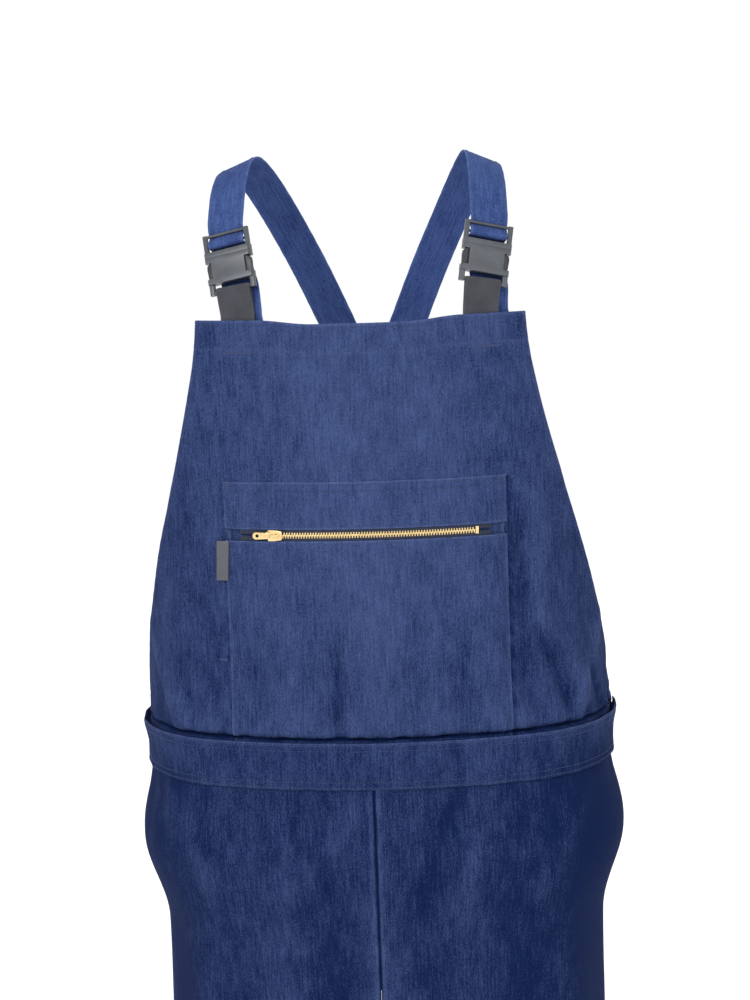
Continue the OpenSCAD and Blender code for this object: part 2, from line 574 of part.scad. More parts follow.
function over_stops(g) = curve(concat(
    [local_stop(0, top_bar_y + 6, -2.2, 0)], shoulder_stops,
    [for (m = back_marks) [on_back(m[0], m[1], mix(end_d, lift(g) + 2, smooth((m[1] - 40) / 90))),
        out_back(m[0])]]), 3);
module strap(g) color(denim)
    ribbon(concat(tail_stops(g), ladder_stops(), over_stops(g)), strap_w, strap_t);

// ---- everything, with the strap tops at the origin ----
module worn(name) translate([0, 0, -shoulder_h]) children();

worn("bib_panel") bib_panel();
worn("bib_top_facing") bib_top_facing();
worn("bib_side_facing_left") bib_side_facing(-1);
worn("bib_side_facing_right") bib_side_facing(1);
worn("pocket_upper_strip") pocket_upper_strip();
worn("pocket_front") pocket_front();
worn("label_tab") label_tab();
worn("bar_tacks") bar_tacks();
worn("zip_tape_upper") zip_tape(1);
worn("zip_tape_lower") zip_tape(-1);
worn("zip_teeth_upper") zip_teeth(1);
worn("zip_teeth_lower") zip_teeth(-1);
worn("zip_top_stops") zip_top_stops();
worn("zip_bottom_stop") zip_bottom_stop();
worn("zip_slider") zip_slider();
worn("zip_pull_tab") zip_pull_tab();
worn("waistband_front") waistband_front();
worn("waistband_front_facing") waistband_front_facing();
worn("waistband_back") waistband_back();
worn("waistband_back_facing") waistband_back_facing();
worn("waist_elastic") waist_elastic();
worn("leg_panel_left") leg_panel(-1);
worn("leg_panel_right") leg_panel(1);
worn("centre_seam_tape") centre_seam_tape();
worn("leg_hem_left") leg_hem(-1);
worn("leg_hem_right") leg_hem(1);
worn("strap_left") on_side(-1) strap(-1);
worn("strap_right") on_side(1) strap(1);
worn("webbing_loop_left") on_side(-1) webbing_loop();
worn("webbing_loop_right") on_side(1) webbing_loop();
worn("buckle_socket_left") on_side(-1) at_buckle() buckle_socket();
worn("buckle_socket_right") on_side(1) at_buckle() buckle_socket();
worn("buckle_clip_left") on_side(-1) at_buckle() buckle_clip();
worn("buckle_clip_right") on_side(1) at_buckle() buckle_clip();
worn("release_arm_left_outer") on_side(-1) at_buckle() release_arm();
worn("release_arm_left_inner") on_side(-1) at_buckle() mirror([1, 0, 0]) release_arm();
worn("release_arm_right_outer") on_side(1) at_buckle() release_arm();
worn("release_arm_right_inner") on_side(1) at_buckle() mirror([1, 0, 0]) release_arm();
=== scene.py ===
# %% [markdown]
# # A denim bib apron, worn shape, in Blender
# The frame gives the hard pieces, such as buckles and zip, already in place and
# able to move. This lesson dresses that frame in cloth: each layer of denim is
# a surface worked out with numpy, so that every fold and seam follows a formula.

# %% Load the frame
import json
import math

import bmesh
import bpy
import numpy as np
from mathutils import Matrix, Vector

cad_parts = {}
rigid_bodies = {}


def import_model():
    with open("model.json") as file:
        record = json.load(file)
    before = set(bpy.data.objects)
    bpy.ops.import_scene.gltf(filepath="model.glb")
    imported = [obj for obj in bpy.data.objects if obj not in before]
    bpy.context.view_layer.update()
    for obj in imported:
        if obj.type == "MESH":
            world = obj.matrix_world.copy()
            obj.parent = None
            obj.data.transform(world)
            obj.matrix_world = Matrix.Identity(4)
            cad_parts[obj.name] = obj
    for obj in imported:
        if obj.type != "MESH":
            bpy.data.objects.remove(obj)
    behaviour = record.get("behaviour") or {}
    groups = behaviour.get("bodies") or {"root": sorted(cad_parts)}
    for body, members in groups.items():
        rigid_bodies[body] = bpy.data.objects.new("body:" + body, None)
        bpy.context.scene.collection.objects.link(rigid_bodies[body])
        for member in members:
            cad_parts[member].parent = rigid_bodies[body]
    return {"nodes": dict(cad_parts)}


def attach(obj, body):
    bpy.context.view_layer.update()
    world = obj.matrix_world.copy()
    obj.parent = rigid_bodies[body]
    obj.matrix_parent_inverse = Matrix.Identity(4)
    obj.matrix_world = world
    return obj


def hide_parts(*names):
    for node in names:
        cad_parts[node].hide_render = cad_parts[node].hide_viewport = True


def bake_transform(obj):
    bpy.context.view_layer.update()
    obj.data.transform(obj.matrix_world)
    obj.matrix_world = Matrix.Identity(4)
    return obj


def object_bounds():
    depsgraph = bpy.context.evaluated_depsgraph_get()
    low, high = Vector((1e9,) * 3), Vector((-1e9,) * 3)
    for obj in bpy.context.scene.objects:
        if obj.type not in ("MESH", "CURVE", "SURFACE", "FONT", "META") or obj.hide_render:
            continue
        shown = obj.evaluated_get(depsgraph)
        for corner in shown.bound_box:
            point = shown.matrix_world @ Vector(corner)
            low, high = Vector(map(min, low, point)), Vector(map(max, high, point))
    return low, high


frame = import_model()
cad_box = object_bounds()

# %% [markdown]
# ## Where things lie
# All sizes below are in millimetres, measured up from the waist seam. The frame's
# origin is at the strap tops, so a finished point is lowered by SHOULDER_H and
# turned into metres in one place only.

# %% Main sizes
SHOULDER_H = 514.0
BIB_H, BIB_TOP_W, BIB_DIP = 380.0, 294.0, 4.0
HALF_WAIST, HALF_DEEP = 217.0, 126.0
BAND_H, BAND_RISE = 43.0, 22.0
SKIRT_H, SEAM_H, HEM_H = 520.0, 235.0, 25.0
POCKET_W, POCKET_TOP, ZIP_H, ZIP_GAP = 254.0, 238.0, 191.0, 11.0
FRONT_R = 450.0
BIB_LOW = BAND_H * 0.42
CLOTH, GAP = 1.0, 0.3
WEB_X = BIB_TOP_W / 2 - 37.5
STRAP_W, STRAP_T = 34.0, 2.4
WEBBING_W, WEBBING_T = 32.0, 1.4

# Middle of each layer of denim, outwards from the worn shape
FACING = -(CLOTH + 2 * GAP)
POCKET = CLOTH + GAP
BACK_BAND = CLOTH + 4 * GAP
BAND = BACK_BAND + CLOTH + 2 * GAP
TAPE_BACK = 2.55
POCKET_RISE = TAPE_BACK + 0.6 + 2 * GAP - (POCKET - CLOTH / 2)
print("zip", ZIP_H, "mm up, pocket rises", round(POCKET_RISE, 2), "mm over its tapes")

# %% [markdown]
# ## The worn shape
# A body is round, and denim lies on it like a tube. The tube's section is an oval
# of four arcs, wide and shallow. Its half width and half depth change with height
# along smooth curves through a few stations. Cloth lives on this form by two
# numbers: s, the distance round it from the centre front, and z, the height.

# %% Smooth curves
WIDTHS = [[-SKIRT_H, -12], [-200, -11], [-120, 13], [-BAND_H, -1], [0, 0],
          [BIB_H * 0.26, -3], [BIB_H * 0.66, -9], [BIB_H, -13], [BIB_H + 140, -17]]
DEPTHS = [[-SKIRT_H, -6], [-200, -2], [-120, 3], [-BAND_H, 0.5], [0, 0],
          [BIB_H * 0.26, 1.5], [BIB_H * 0.5, 2], [BIB_H * 0.74, -0.5], [BIB_H, -14],
          [BIB_H + 30, -20], [BIB_H + 80, -36], [BIB_H + 140, -66]]


def smooth(t):
    """3t^2 - 2t^3, held at 0 below t = 0 and at 1 above t = 1."""
    t = np.clip(t, 0.0, 1.0)
    return t * t * (3 - 2 * t)


def mix(a, b, t):
    return a + (b - a) * t


def along(stations, z):
    """Cubic Hermite curve through (height, value) pairs, with the slope at each
    taken from its two neighbours."""
    x, y = np.array(stations, float).T
    slope = np.concatenate([[(y[1] - y[0]) / (x[1] - x[0])],
                            (y[2:] - y[:-2]) / (x[2:] - x[:-2]),
                            [(y[-1] - y[-2]) / (x[-1] - x[-2])]])
    z = np.asarray(z, float)
    i = np.clip(np.searchsorted(x, z) - 1, 0, len(x) - 2)
    h = x[i + 1] - x[i]
    t = np.clip((z - x[i]) / h, 0, 1)
    return (y[i] * (1 + 2 * t) * (1 - t) ** 2 + slope[i] * h * t * (1 - t) ** 2
            + y[i + 1] * t ** 2 * (3 - 2 * t) + slope[i + 1] * h * t ** 2 * (t - 1))


def half_w(z):
    return HALF_WAIST + along(WIDTHS, z)


def half_d(z):
    return HALF_DEEP + along(DEPTHS, z)


# %% The oval of four arcs
def oval(z):
    """Half depth b, side radius r and the angle j at which the front arc, of
    radius R, meets the side arc: r = (2Rb - b^2 - a^2) / 2(R - a)."""
    a, b = half_w(z), half_d(z)
    r = (2 * FRONT_R * b - b * b - a * a) / (2 * (FRONT_R - a))
    return b, r, np.arccos((FRONT_R - b) / (FRONT_R - r))


def reach(angle, z):
    """Distance round the form at which it faces the angle, in radians."""
    _, r, j = oval(z)
    side = FRONT_R * j + r * (np.minimum(angle, np.pi - j) - j)
    back = FRONT_R * np.maximum(angle - (np.pi - j), 0)
    return np.where(angle <= j, FRONT_R * angle, side + back)


def reach_x(x, z):
    """The same distance for a half width x on the front half."""
    _, r, j = oval(z)
    centre = (FRONT_R - r) * np.sin(j)
    on_side = reach(np.arcsin(np.clip((x - centre) / r, 0, 1)), z)
    return np.where(x <= FRONT_R * np.sin(j),
                    FRONT_R * np.arcsin(np.minimum(x / FRONT_R, 1)), on_side)


def on_form(s, z, d):
    """Point at distance s round the form, height z, lifted d outwards."""
    s, z, d = np.broadcast_arrays(np.asarray(s, float), z, d)
    q, side = np.abs(s), np.where(s < 0, -1.0, 1.0)
    b, r, j = oval(z)
    s1 = FRONT_R * j
    s2 = s1 + r * (np.pi - 2 * j)
    a = np.where(q <= s1, q / FRONT_R,
                 np.where(q <= s2, j + (q - s1) / r, np.pi - j + (q - s2) / FRONT_R))
    far = np.where((q <= s1) | (q > s2), FRONT_R, r)
    x = far * 0 + np.where((q <= s1) | (q > s2), 0, (FRONT_R - r) * np.sin(j))
    y = np.where(q <= s1, FRONT_R - b, np.where(q <= s2, 0, b - FRONT_R))
    return np.stack([side * (x + (far + d) * np.sin(a)), y - (far + d) * np.cos(a), z], -1)


def on_front(x, z, d):
    return on_form(np.sign(x) * reach_x(np.abs(x), z), z, d)


print("waist", round(float(2 * half_w(0.0))), "mm wide")

# %% [markdown]
# ## Folds
# Worn denim is never smooth. Short gathers stand above and below the waist seam
# and die out, long soft flutes run down the panels, and a few creases cross the
# sides. All layers share one fold field, so that they move together and never
# cut through each other. It fades to nothing at the zip and the bib's top edge.

# %% One fold field for every layer
def ripple(x, seed, waves=7, spread=2.2):
    """Sum of sines with wavelengths from 1 to spread, fixed by the seed."""
    rng = np.random.default_rng(seed)
    k = 2 * np.pi / rng.uniform(1, spread, waves)
    phase, size = rng.uniform(0, 2 * np.pi, waves), rng.uniform(0.5, 1, waves)
    waves_at = np.sin(np.asarray(x)[..., None] * k + phase) * size
    return waves_at.sum(-1) / np.sqrt(waves)


def crease(s, z, start, end, width, depth):
    """A ridge of gaussian section along a line that fades at both ends."""
    a, b = np.array(start, float), np.array(end, float)
    length = np.linalg.norm(b - a)
    e = (b - a) / length
    t = ((s - a[0]) * e[0] + (z - a[1]) * e[1]) / length
    off = (s - a[0]) * -e[1] + (z - a[1]) * e[0]
    return depth * np.exp(-(off / width) ** 2) * smooth((t + 0.15) / 0.3) * smooth((1.15 - t) / 0.3)


# Each fold: its two ends as (s, z), its half width, and its rise or fall in mm
CREASES = [((236, 96), (196, 16), 8, 3.4), ((182, 88), (214, 12), 8, 3.0),
           ((156, 92), (188, 14), 6.5, -4.2), ((216, 56), (238, 6), 5.5, -3.8),
           ((138, 200), (140, 34), 5.5, -3.6), ((160, 230), (157, 60), 10, 2.0),
           ((-236, 95), (-190, 18), 8, 2.4), ((-190, 80), (-160, 10), 7, -2.4),
           ((-139, 170), (-142, 40), 7, -1.2), ((-25, 112), (-31, 10), 6.5, -2.6),
           ((-104, 84), (-98, 8), 8, -2.0), ((84, 92), (90, 8), 7, -2.1),
           ((34, 74), (38, 6), 5.5, -1.6), ((-66, 64), (-62, 8), 6, 1.5),
           ((60, 110), (66, 10), 9, 1.5), ((8, 130), (4, 14), 11, 1.3),
           ((150, 330), (185, 230), 14, 1.2), ((-150, 330), (-190, 215), 14, 1.1),
           ((70, 350), (40, 260), 18, 0.9), ((-60, 350), (-20, 262), 18, 0.8),
           ((-8, -56), (-90, -150), 12, 2.2), ((74, -48), (34, -170), 9, -2.8),
           ((104, -50), (70, -190), 12, 2.2), ((-60, -48), (-44, -150), 10, -2.0),
           ((200, -60), (150, -160), 13, 2.6), ((-210, -60), (-150, -150), 13, 2.4)]


def tuck_line(s):
    """Height at which the bib tucks in over the band, wandering a little."""
    return 3.0 + 0.5 * ripple(s / 24, 14)


def folds(s, z):
    """Outward rise of all the folds at (s, z), in millimetres: gathers die out
    above the waist, the cloth tucks in over the band and blouses out above it."""
    up, side = np.maximum(z, 0), smooth((np.abs(s) - 175) / 45)
    rises = smooth(up / 7)
    gathers = ripple(s / 17 + 0.15 * ripple(z / 40, 3), 11) * 1.7 * np.exp(-up / 40) * rises
    tucked = -(4.2 - 1.2 * ripple(s / 30, 12)) * smooth(up / 1.4) * np.exp(
        -((up - tuck_line(s)) / 1.7) ** 2)
    blouse = (3.6 - 5.0 * side + 0.5 * ripple(s / 48, 13)) * smooth((up - 3) / 7) * np.exp(
        -np.maximum(up - 14, 0) / 26)
    chest = 0.7 * ripple(s / 55 + z / 300, 5) * smooth((BIB_H - 30 - z) / 120)
    down = np.maximum(-z - BAND_H, 0)
    tucks = ripple(s / 20, 17) * 1.0 * np.exp(-down / 55) * smooth((down + 2) / 8)
    flutes = 2.8 * ripple(s / 75 + z / 900, 23) * smooth((down - 30) / 220)
    total = np.where(z > 0, gathers + tucked + blouse + chest * rises,
                     np.where(down > 0, tucks + flutes, 0))
    total = np.where((z <= 0) & (down <= 0), ripple(s / 26 + z / 60, 29) * 0.35, total)
    for start, end, width, depth in CREASES:
        total = total + crease(s, z, start, end, width, depth)
    near_zip = np.exp(-((z - ZIP_H) / 22) ** 4) * smooth((POCKET_W / 2 + 14 - np.abs(s)) / 26)
    return total * (1 - near_zip) * smooth((BIB_H - 6 - z) / 50)


# %% [markdown]
# ## Turning arrays into meshes
# A grid of points becomes a mesh in one call. Every piece of cloth carries a UV
# map in metres, so the weave is the same size everywhere, and a value that says
# how much the indigo has rubbed off, with painted shade and highlight added in places.

# %% Grids into meshes
def place(points):
    """From millimetres above the waist seam to metres in the frame."""
    return (np.asarray(points, float) - [0, 0, SHOULDER_H]) / 1000


def faces_of(rows, cols, wrap=False):
    """Quads of a grid of points, row by row, closed into a tube where it wraps."""
    k = np.arange(rows * cols).reshape(rows, cols)
    right = np.roll(k, -1, 1) if wrap else k[:, 1:]
    left = k if wrap else k[:, :-1]
    return np.stack([left[:-1], right[:-1], right[1:], left[1:]], -1).reshape(-1, 4)


def shown(name, mesh):
    """Shade a mesh smoothly and put it in the scene as an object at the origin."""
    mesh.polygons.foreach_set("use_smooth", np.ones(len(mesh.polygons), bool))
    piece = bpy.data.objects.new(name, mesh)
    bpy.context.scene.collection.objects.link(piece)
    return piece


def new_piece(name, points, faces, uv, wear_and_shade):
    """Make a piece from points in millimetres, faces, and its UVs and wear."""
    mesh = bpy.data.meshes.new(name)
    mesh.from_pydata(place(points).reshape(-1, 3), [], faces)
    corner = np.zeros(len(mesh.loops), np.int32)
    mesh.loops.foreach_get("vertex_index", corner)
    at_corners = uv.reshape(-1, 2)[corner].astype(np.float32)
    mesh.uv_layers.new(name="cloth").data.foreach_set("uv", at_corners.ravel())
    rub_and_shade = mesh.attributes.new("wear_and_shade", "FLOAT", "POINT")
    rub_and_shade.data.foreach_set("value", np.ravel(wear_and_shade).astype(np.float32))
    mesh.update()
    return shown(name, mesh)


def ticks(low, high, step, edges=(), lines=()):
    """Even steps from low to high, with extra ones close to edges and seams."""
    even = np.linspace(low, high, max(2, int(round(abs(high - low) / step)) + 1))
    near = [e + k for e in edges for k in (-2.4, -1.5, -0.8, -0.3, 0.3, 0.8, 1.5, 2.4)]
    near += [e + k for e in lines for k in (-1.1, -0.5, 0, 0.5, 1.1)]
    near = [n for n in near if low < n < high]
    kept = np.array(sorted(set(np.round(np.concatenate([even, near]), 3))))
    gaps = np.diff(kept) > 0.2
    return kept[np.concatenate([[True], gaps])]


def thicken(piece, millimetres):
    """Give a single surface its cloth thickness, evenly to both sides."""
    solid = piece.modifiers.new("thickness", "SOLIDIFY")
    solid.thickness = millimetres / 1000
    solid.offset = 0.0
    solid.use_even_offset = False
    return piece

# %% [markdown]
# ## Shader maths that reads like arithmetic
# A material is a formula on the surface. Wrapping a node socket in a small class
# lets the formula be written with + and *, and one method adds any other node.

# %% Sockets as numbers
class Term:
    """One output socket. Arithmetic on it adds Math nodes to its tree."""

    def __init__(self, kit, socket):
        self.kit, self.socket = kit, socket

    def maths(self, operation, *others):
        return self.kit.node("ShaderNodeMath", {"operation": operation}, [self, *others])

    def __add__(self, other):
        return self.maths("ADD", other)

    def __mul__(self, other):
        return self.maths("MULTIPLY", other)

    def __sub__(self, other):
        return self.maths("SUBTRACT", other)

    def __rsub__(self, other):
        return self.kit.node("ShaderNodeMath", {"operation": "SUBTRACT"}, [other, self])

    __radd__, __rmul__ = __add__, __mul__

    def sine(self):
        return self.maths("SINE")

    def clamp(self):
        return self.maths("MAXIMUM", 0.0).maths("MINIMUM", 1.0)


class Kit:
    """A material's node tree with its Principled shader."""

    def __init__(self, name, **constants):
        self.material = bpy.data.materials.new(name)
        self.material.use_nodes = True
        self.tree = self.material.node_tree
        self.shader = self.tree.nodes["Principled BSDF"]
        for socket, value in constants.items():
            self.shader.inputs[socket.replace("_", " ")].default_value = value

    def node(self, kind, settings=None, inputs=(), out=0):
        """Add a node, set it up, then feed its inputs by place or by name."""
        new = self.tree.nodes.new(kind)
        for key, value in (settings or {}).items():
            setattr(new, key, value)
        feeds = inputs.items() if isinstance(inputs, dict) else enumerate(inputs)
        for key, value in feeds:
            self.feed(new.inputs[key], value)
        return Term(self, new.outputs[out])

    def feed(self, socket, value):
        if isinstance(value, Term):
            self.tree.links.new(value.socket, socket)
        else:
            socket.default_value = value

    def set(self, socket, value):
        self.feed(self.shader.inputs[socket], value)

    def noise(self, where, scale, detail=3.0, rough=0.55):
        return self.node("ShaderNodeTexNoise", {}, {"Vector": where, "Scale": scale,
                         "Detail": detail, "Roughness": rough})

    def stretch(self, where, x, y, z=1.0):
        return self.node("ShaderNodeVectorMath", {"operation": "MULTIPLY"}, [where, (x, y, z)])

    def blend(self, share, low, high):
        """Colour between low and high."""
        return self.node("ShaderNodeMix", {"data_type": "RGBA"}, {0: share, 6: low, 7: high}, out=2)

    def bump(self, height, depth, strength=1.0):
        self.set("Normal", self.node("ShaderNodeBump", {}, {"Strength": strength,
                 "Distance": depth, "Height": height}))

    def cloth_uv(self):
        return self.node("ShaderNodeUVMap", {"uv_map": "cloth"})

    def wear_and_shade(self):
        return self.node("ShaderNodeAttribute", {"attribute_name": "wear_and_shade"}, out=2)

    def objects(self):
        return self.node("ShaderNodeTexCoord", out=3)


# %% [markdown]
# ## Denim
# Denim is a twill of blue warp threads, which run up the panel, over white weft.
# Uneven warp yarns, called slubs, give it long upright streaks, the weft shows as
# pale flecks, and fine diagonal ridges cross it. Where it rubs it turns paler.

# %% The denim recipe
def denim(name, deep, pale, fleck_gain=0.62):
    """deep and pale are the colours of fresh and of rubbed indigo."""
    kit = Kit(name, Roughness=0.88, Sheen_Weight=0.02, Sheen_Roughness=0.5,
              Sheen_Tint=(0.5, 0.6, 1.0, 1.0), Specular_IOR_Level=0.04)
    at = kit.cloth_uv()
    slub = kit.noise(kit.stretch(at, 520, 42), 1.0, 4.0, 0.6)
    fine = kit.noise(kit.stretch(at, 1500, 240), 1.0, 2.0)
    fleck = kit.noise(kit.stretch(at, 1150, 620), 1.0, 2.0)
    mottle = kit.noise(kit.stretch(at, 62, 34), 1.0, 6.0, 0.66)
    along_u = kit.node("ShaderNodeSeparateXYZ", {}, [at])
    along_v = Term(kit, along_u.socket.node.outputs[1])
    twill = ((along_u * 5200.0 + along_v * 3600.0).sine() * 0.5 + 0.5)
    # The wear value mixes real wear with painted shade and painted highlight
    share = (kit.wear_and_shade() * 0.62 + (slub - 0.5) * 0.50 + (fine - 0.5) * 0.42
             + (fleck - 0.5) * fleck_gain + (mottle - 0.5) * 0.40 + (twill - 0.5) * 0.10).clamp()
    kit.set("Base Color", kit.blend(share, deep, pale))
    kit.bump(twill * 0.5 + fleck * 0.5 + slub * 0.8, 0.00035, 0.7)
    return kit.material


DENIM = denim("denim", (0.0030, 0.0100, 0.0480, 1), (0.102, 0.148, 0.335, 1))
DENIM_BACK = denim("denim reverse", (0.075, 0.100, 0.180, 1), (0.34, 0.39, 0.48, 1), 0.8)
print("denim made with", len(DENIM.node_tree.nodes), "nodes")

# %% [markdown]
# ## Thread, webbing, label and elastic
# Topstitching thread is smooth and a little brighter than the cloth. Webbing is a
# coarse flat weave: its ribs run across it, and its selvedges are tighter.

# %% Other cloth finishes
def woven(name, dark, light, ribs_u, ribs_v, depth=0.0003, rough=0.8, sheen=0.1):
    """A plain weave whose ribs have the two given numbers of cycles a metre."""
    kit = Kit(name, Roughness=rough, Sheen_Weight=sheen, Specular_IOR_Level=0.3)
    at = kit.cloth_uv()
    u = kit.node("ShaderNodeSeparateXYZ", {}, [at])
    v = Term(kit, u.socket.node.outputs[1])
    weave = (u * (ribs_u * math.tau)).sine() * (v * (ribs_v * math.tau)).sine() * 0.5 + 0.5
    dust = kit.noise(kit.stretch(at, 60, 40), 1.0, 4.0)
    share = (weave * 0.5 + (dust - 0.5) * 0.8 + kit.wear_and_shade() * 0.4).clamp()
    kit.set("Base Color", kit.blend(share, dark, light))
    kit.bump(weave, depth)
    return kit.material


WEBBING = woven("webbing", (0.018, 0.020, 0.026, 1), (0.078, 0.083, 0.098, 1), 620, 780)
LABEL = woven("label", (0.050, 0.053, 0.064, 1), (0.125, 0.13, 0.145, 1), 1500, 900, 0.0001)
TAPE = woven("zip tape", (0.008, 0.011, 0.024, 1), (0.035, 0.045, 0.09, 1), 1200, 1400, 0.0001)
ELASTIC = woven("elastic", (0.55, 0.55, 0.52, 1), (0.85, 0.85, 0.82, 1), 300, 700, 0.0004)
THREAD = woven("thread", (0.013, 0.024, 0.085, 1), (0.050, 0.078, 0.20, 1), 900, 2600, 0.0001, 0.6)

# %% [markdown]
# ## Moulded plastic and brass
# The buckles are acetal: charcoal, with a fine satin grain and paler cloudy
# scuffs. The zip is brass, dulled in patches.

# %% Hard finishes
def moulded(name, base, rubbed, rough):
    kit = Kit(name, Specular_IOR_Level=0.5)
    at = kit.objects()
    grain = kit.noise(at, 2600.0, 2.0)
    cloud = kit.noise(at, 70.0, 4.0)
    scuff = kit.noise(kit.stretch(at, 900, 900, 160), 1.0, 3.0)
    share = ((cloud - 0.42) * 1.5 + (scuff - 0.5) * 0.6).clamp()
    kit.set("Base Color", kit.blend(share, base, rubbed))
    kit.set("Roughness", (cloud * 0.22 + grain * 0.12 + (rough - 0.17)).clamp())
    kit.bump(grain * 0.6 + scuff * 0.4, 0.00006, 0.5)
    return kit.material


def metal(name, bright, dull, rough):
    kit = Kit(name, Metallic=1.0)
    at = kit.objects()
    tarnish = kit.noise(at, 420.0, 5.0, 0.65)
    brushed = kit.noise(kit.stretch(at, 300, 300, 5200), 1.0, 2.0)
    kit.set("Base Color", kit.blend(((tarnish - 0.45) * 2.2).clamp(), bright, dull))
    kit.set("Roughness", (tarnish * 0.3 + brushed * 0.12 + (rough - 0.2)).clamp())
    kit.bump(brushed, 0.00003, 0.5)
    return kit.material


PLASTIC = moulded("buckle plastic", (0.036, 0.041, 0.050, 1), (0.082, 0.092, 0.112, 1), 0.36)
PLASTIC_ARM = moulded("release arm plastic", (0.010, 0.011, 0.014, 1),
                      (0.026, 0.029, 0.036, 1), 0.44)
BRASS = metal("zip brass", (0.80, 0.60, 0.30, 1), (0.52, 0.37, 0.17, 1), 0.34)


def finish(piece, material, body="garment", replaces=()):
    """Give a piece its material, its body and the CAD nodes it stands for."""
    piece.data.materials.clear()
    piece.data.materials.append(material)
    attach(piece, body)
    if replaces:
        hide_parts(*replaces)
    return piece


# %% [markdown]
# ## Camera, floor and light
# The camera looks slightly down at the chest from a little to the right, with a
# long lens, and is rolled by two degrees. The floor and the light are plain.

# %% Camera
AZIMUTH, ELEVATION, ROLL = math.radians(3.4), math.radians(10.0), math.radians(2.06)
AIM = np.array([6.3, -60.0, 209.3])
# The camera's distance, the distance its scale is set at, and the millimetres that
# one thousandth of the frame's height spans there
DISTANCE, SCALE_DISTANCE, SCALE, SENSOR = 2260.0, 2200.0, 0.885, 36.0
back = np.array([math.sin(AZIMUTH) * math.cos(ELEVATION),
                 -math.cos(AZIMUTH) * math.cos(ELEVATION), math.sin(ELEVATION)])
right = np.cross(-back, [0, 0, 1])
right /= np.linalg.norm(right)
upward = np.cross(right, -back)
rolled = math.cos(ROLL) * right - math.sin(ROLL) * upward
rolled_up = math.sin(ROLL) * right + math.cos(ROLL) * upward
camera = bpy.data.objects.new("camera", bpy.data.cameras.new("camera"))
bpy.context.scene.collection.objects.link(camera)
camera.data.sensor_fit = "VERTICAL"
camera.data.sensor_height = SENSOR
camera.data.lens = SCALE_DISTANCE / SCALE / 1000 * SENSOR
camera.data.clip_end = 50
turned = np.column_stack([rolled, rolled_up, back])
camera.matrix_world = Matrix.LocRotScale(Vector(place(AIM + back * DISTANCE)),
                                         Matrix(turned.tolist()).to_quaternion(), None)
bpy.context.scene.camera = camera
print("lens", round(camera.data.lens, 1), "mm")

# %% Floor, sky and lamps
FLOOR_Z = cad_box[0][2] - 0.0006
bpy.ops.mesh.primitive_plane_add(size=30, location=(0, 0, FLOOR_Z))
floor = bpy.context.object
floor.name = "floor"
floor_kit = Kit("pale floor", Roughness=0.9)
floor_kit.set("Base Color", (0.97, 0.97, 0.97, 1))
floor.data.materials.append(floor_kit.material)

world = bpy.data.worlds.new("studio")
bpy.context.scene.world = world
world.use_nodes = True
world.node_tree.nodes["Background"].inputs[0].default_value = (1.0, 1.0, 1.0, 1)
world.node_tree.nodes["Background"].inputs[1].default_value = 1.03
bpy.context.scene.view_settings.view_transform = "Standard"


def lamp(name, spot, aim, size, watts):
    """A square soft box that faces its aim."""
    light = bpy.data.objects.new(name, bpy.data.lights.new(name, "AREA"))
    light.data.size, light.data.energy = size, watts
    way = Vector(aim) - Vector(spot)
    light.matrix_world = Matrix.LocRotScale(Vector(spot), way.to_track_quat("-Z", "Y"), None)
    bpy.context.scene.collection.objects.link(light)


lamp("key", (-1.2, -2.3, 1.3), (0, 0, -0.15), 0.9, 40)
lamp("fill", (1.7, -2.1, 0.6), (0, 0, -0.2), 1.6, 14)
lamp("back", (0.3, 2.3, 1.6), (0, 0, -0.1), 1.4, 25)

# %% [markdown]
# ## The bib
# The bib narrows upwards. Its top and sides are turned under twice and topstitched,
# so near an edge the cloth rolls back, and each row of stitches pulls a groove with
# small puckers beside it. These come from the distance e to the nearest edge.

# %% What an edge and a row of stitches do to cloth
def roll(e, radius=1.5, depth=1.1):
    """A quarter round: the cloth drops by depth over the last radius mm."""
    t = np.clip(1 - e / radius, 0, 1)
    return -depth * (1 - np.sqrt(1 - 0.98 * t * t))


def groove(e, row, length, seed, depth=0.34):
    """A gaussian groove at distance row, with puckers of seeded ripple along it."""
    near = np.exp(-((e - row) / 0.75) ** 2)
    pucker = 0.17 * ripple(length / 6.5, seed) * np.exp(-((e - row) / 4.0) ** 2)
    return pucker - depth * near


def rubbed(e, seed, length, reach_mm=1.3):
    """Wear that is strongest on an edge, broken up along its length."""
    return 0.5 * np.exp(-np.maximum(e, 0) / reach_mm) * (0.75 + 0.3 * ripple(length / 9, seed))


def fade_and_shade(s, z):
    """Paler on the chest, as wear and as painted light; painted shade on the legs,
    more towards their sides and on the right; a painted shadow line where the bib
    tucks in over the band; a little darker below the waist.
    """
    # Paler on the chest, partly wear and partly painted light
    chest = np.exp(-(s / 150) ** 2) * smooth((z + 10) / 170)
    # Painted shadow line in the tuck over the band
    tuck_shadow = 0.6 * np.exp(-((z - tuck_line(s)) / 1.6) ** 2) * (z > -1)
    # Painted shade towards the sides of the legs, stronger on the right
    side_shade = np.where(s > 0, 0.32, 0.20) * smooth((np.abs(s) - 125) / 110)
    # Painted shade over the right leg too, below the waist
    leg_shade = (0.09 * smooth((s - 20) / 150) + side_shade) * smooth(-z / 60)
    return 0.14 + 0.26 * chest + 0.05 * smooth((z + 20) / 60) - leg_shade - tuck_shadow


def fold_wear_and_shade(s, z):
    """Wear on the tops of the folds."""
    # Painted light and shade on the folds: darker in their valleys and lighter on their tops, where it
    # also stands for wear.
    return 0.055 * np.clip(folds(s, z), -3, 3)


def show_reverse(piece):
    """Show the paler reverse of the denim on the inner side of a sheet."""
    piece.data.materials.append(DENIM_BACK)
    piece.modifiers["thickness"].material_offset = 1


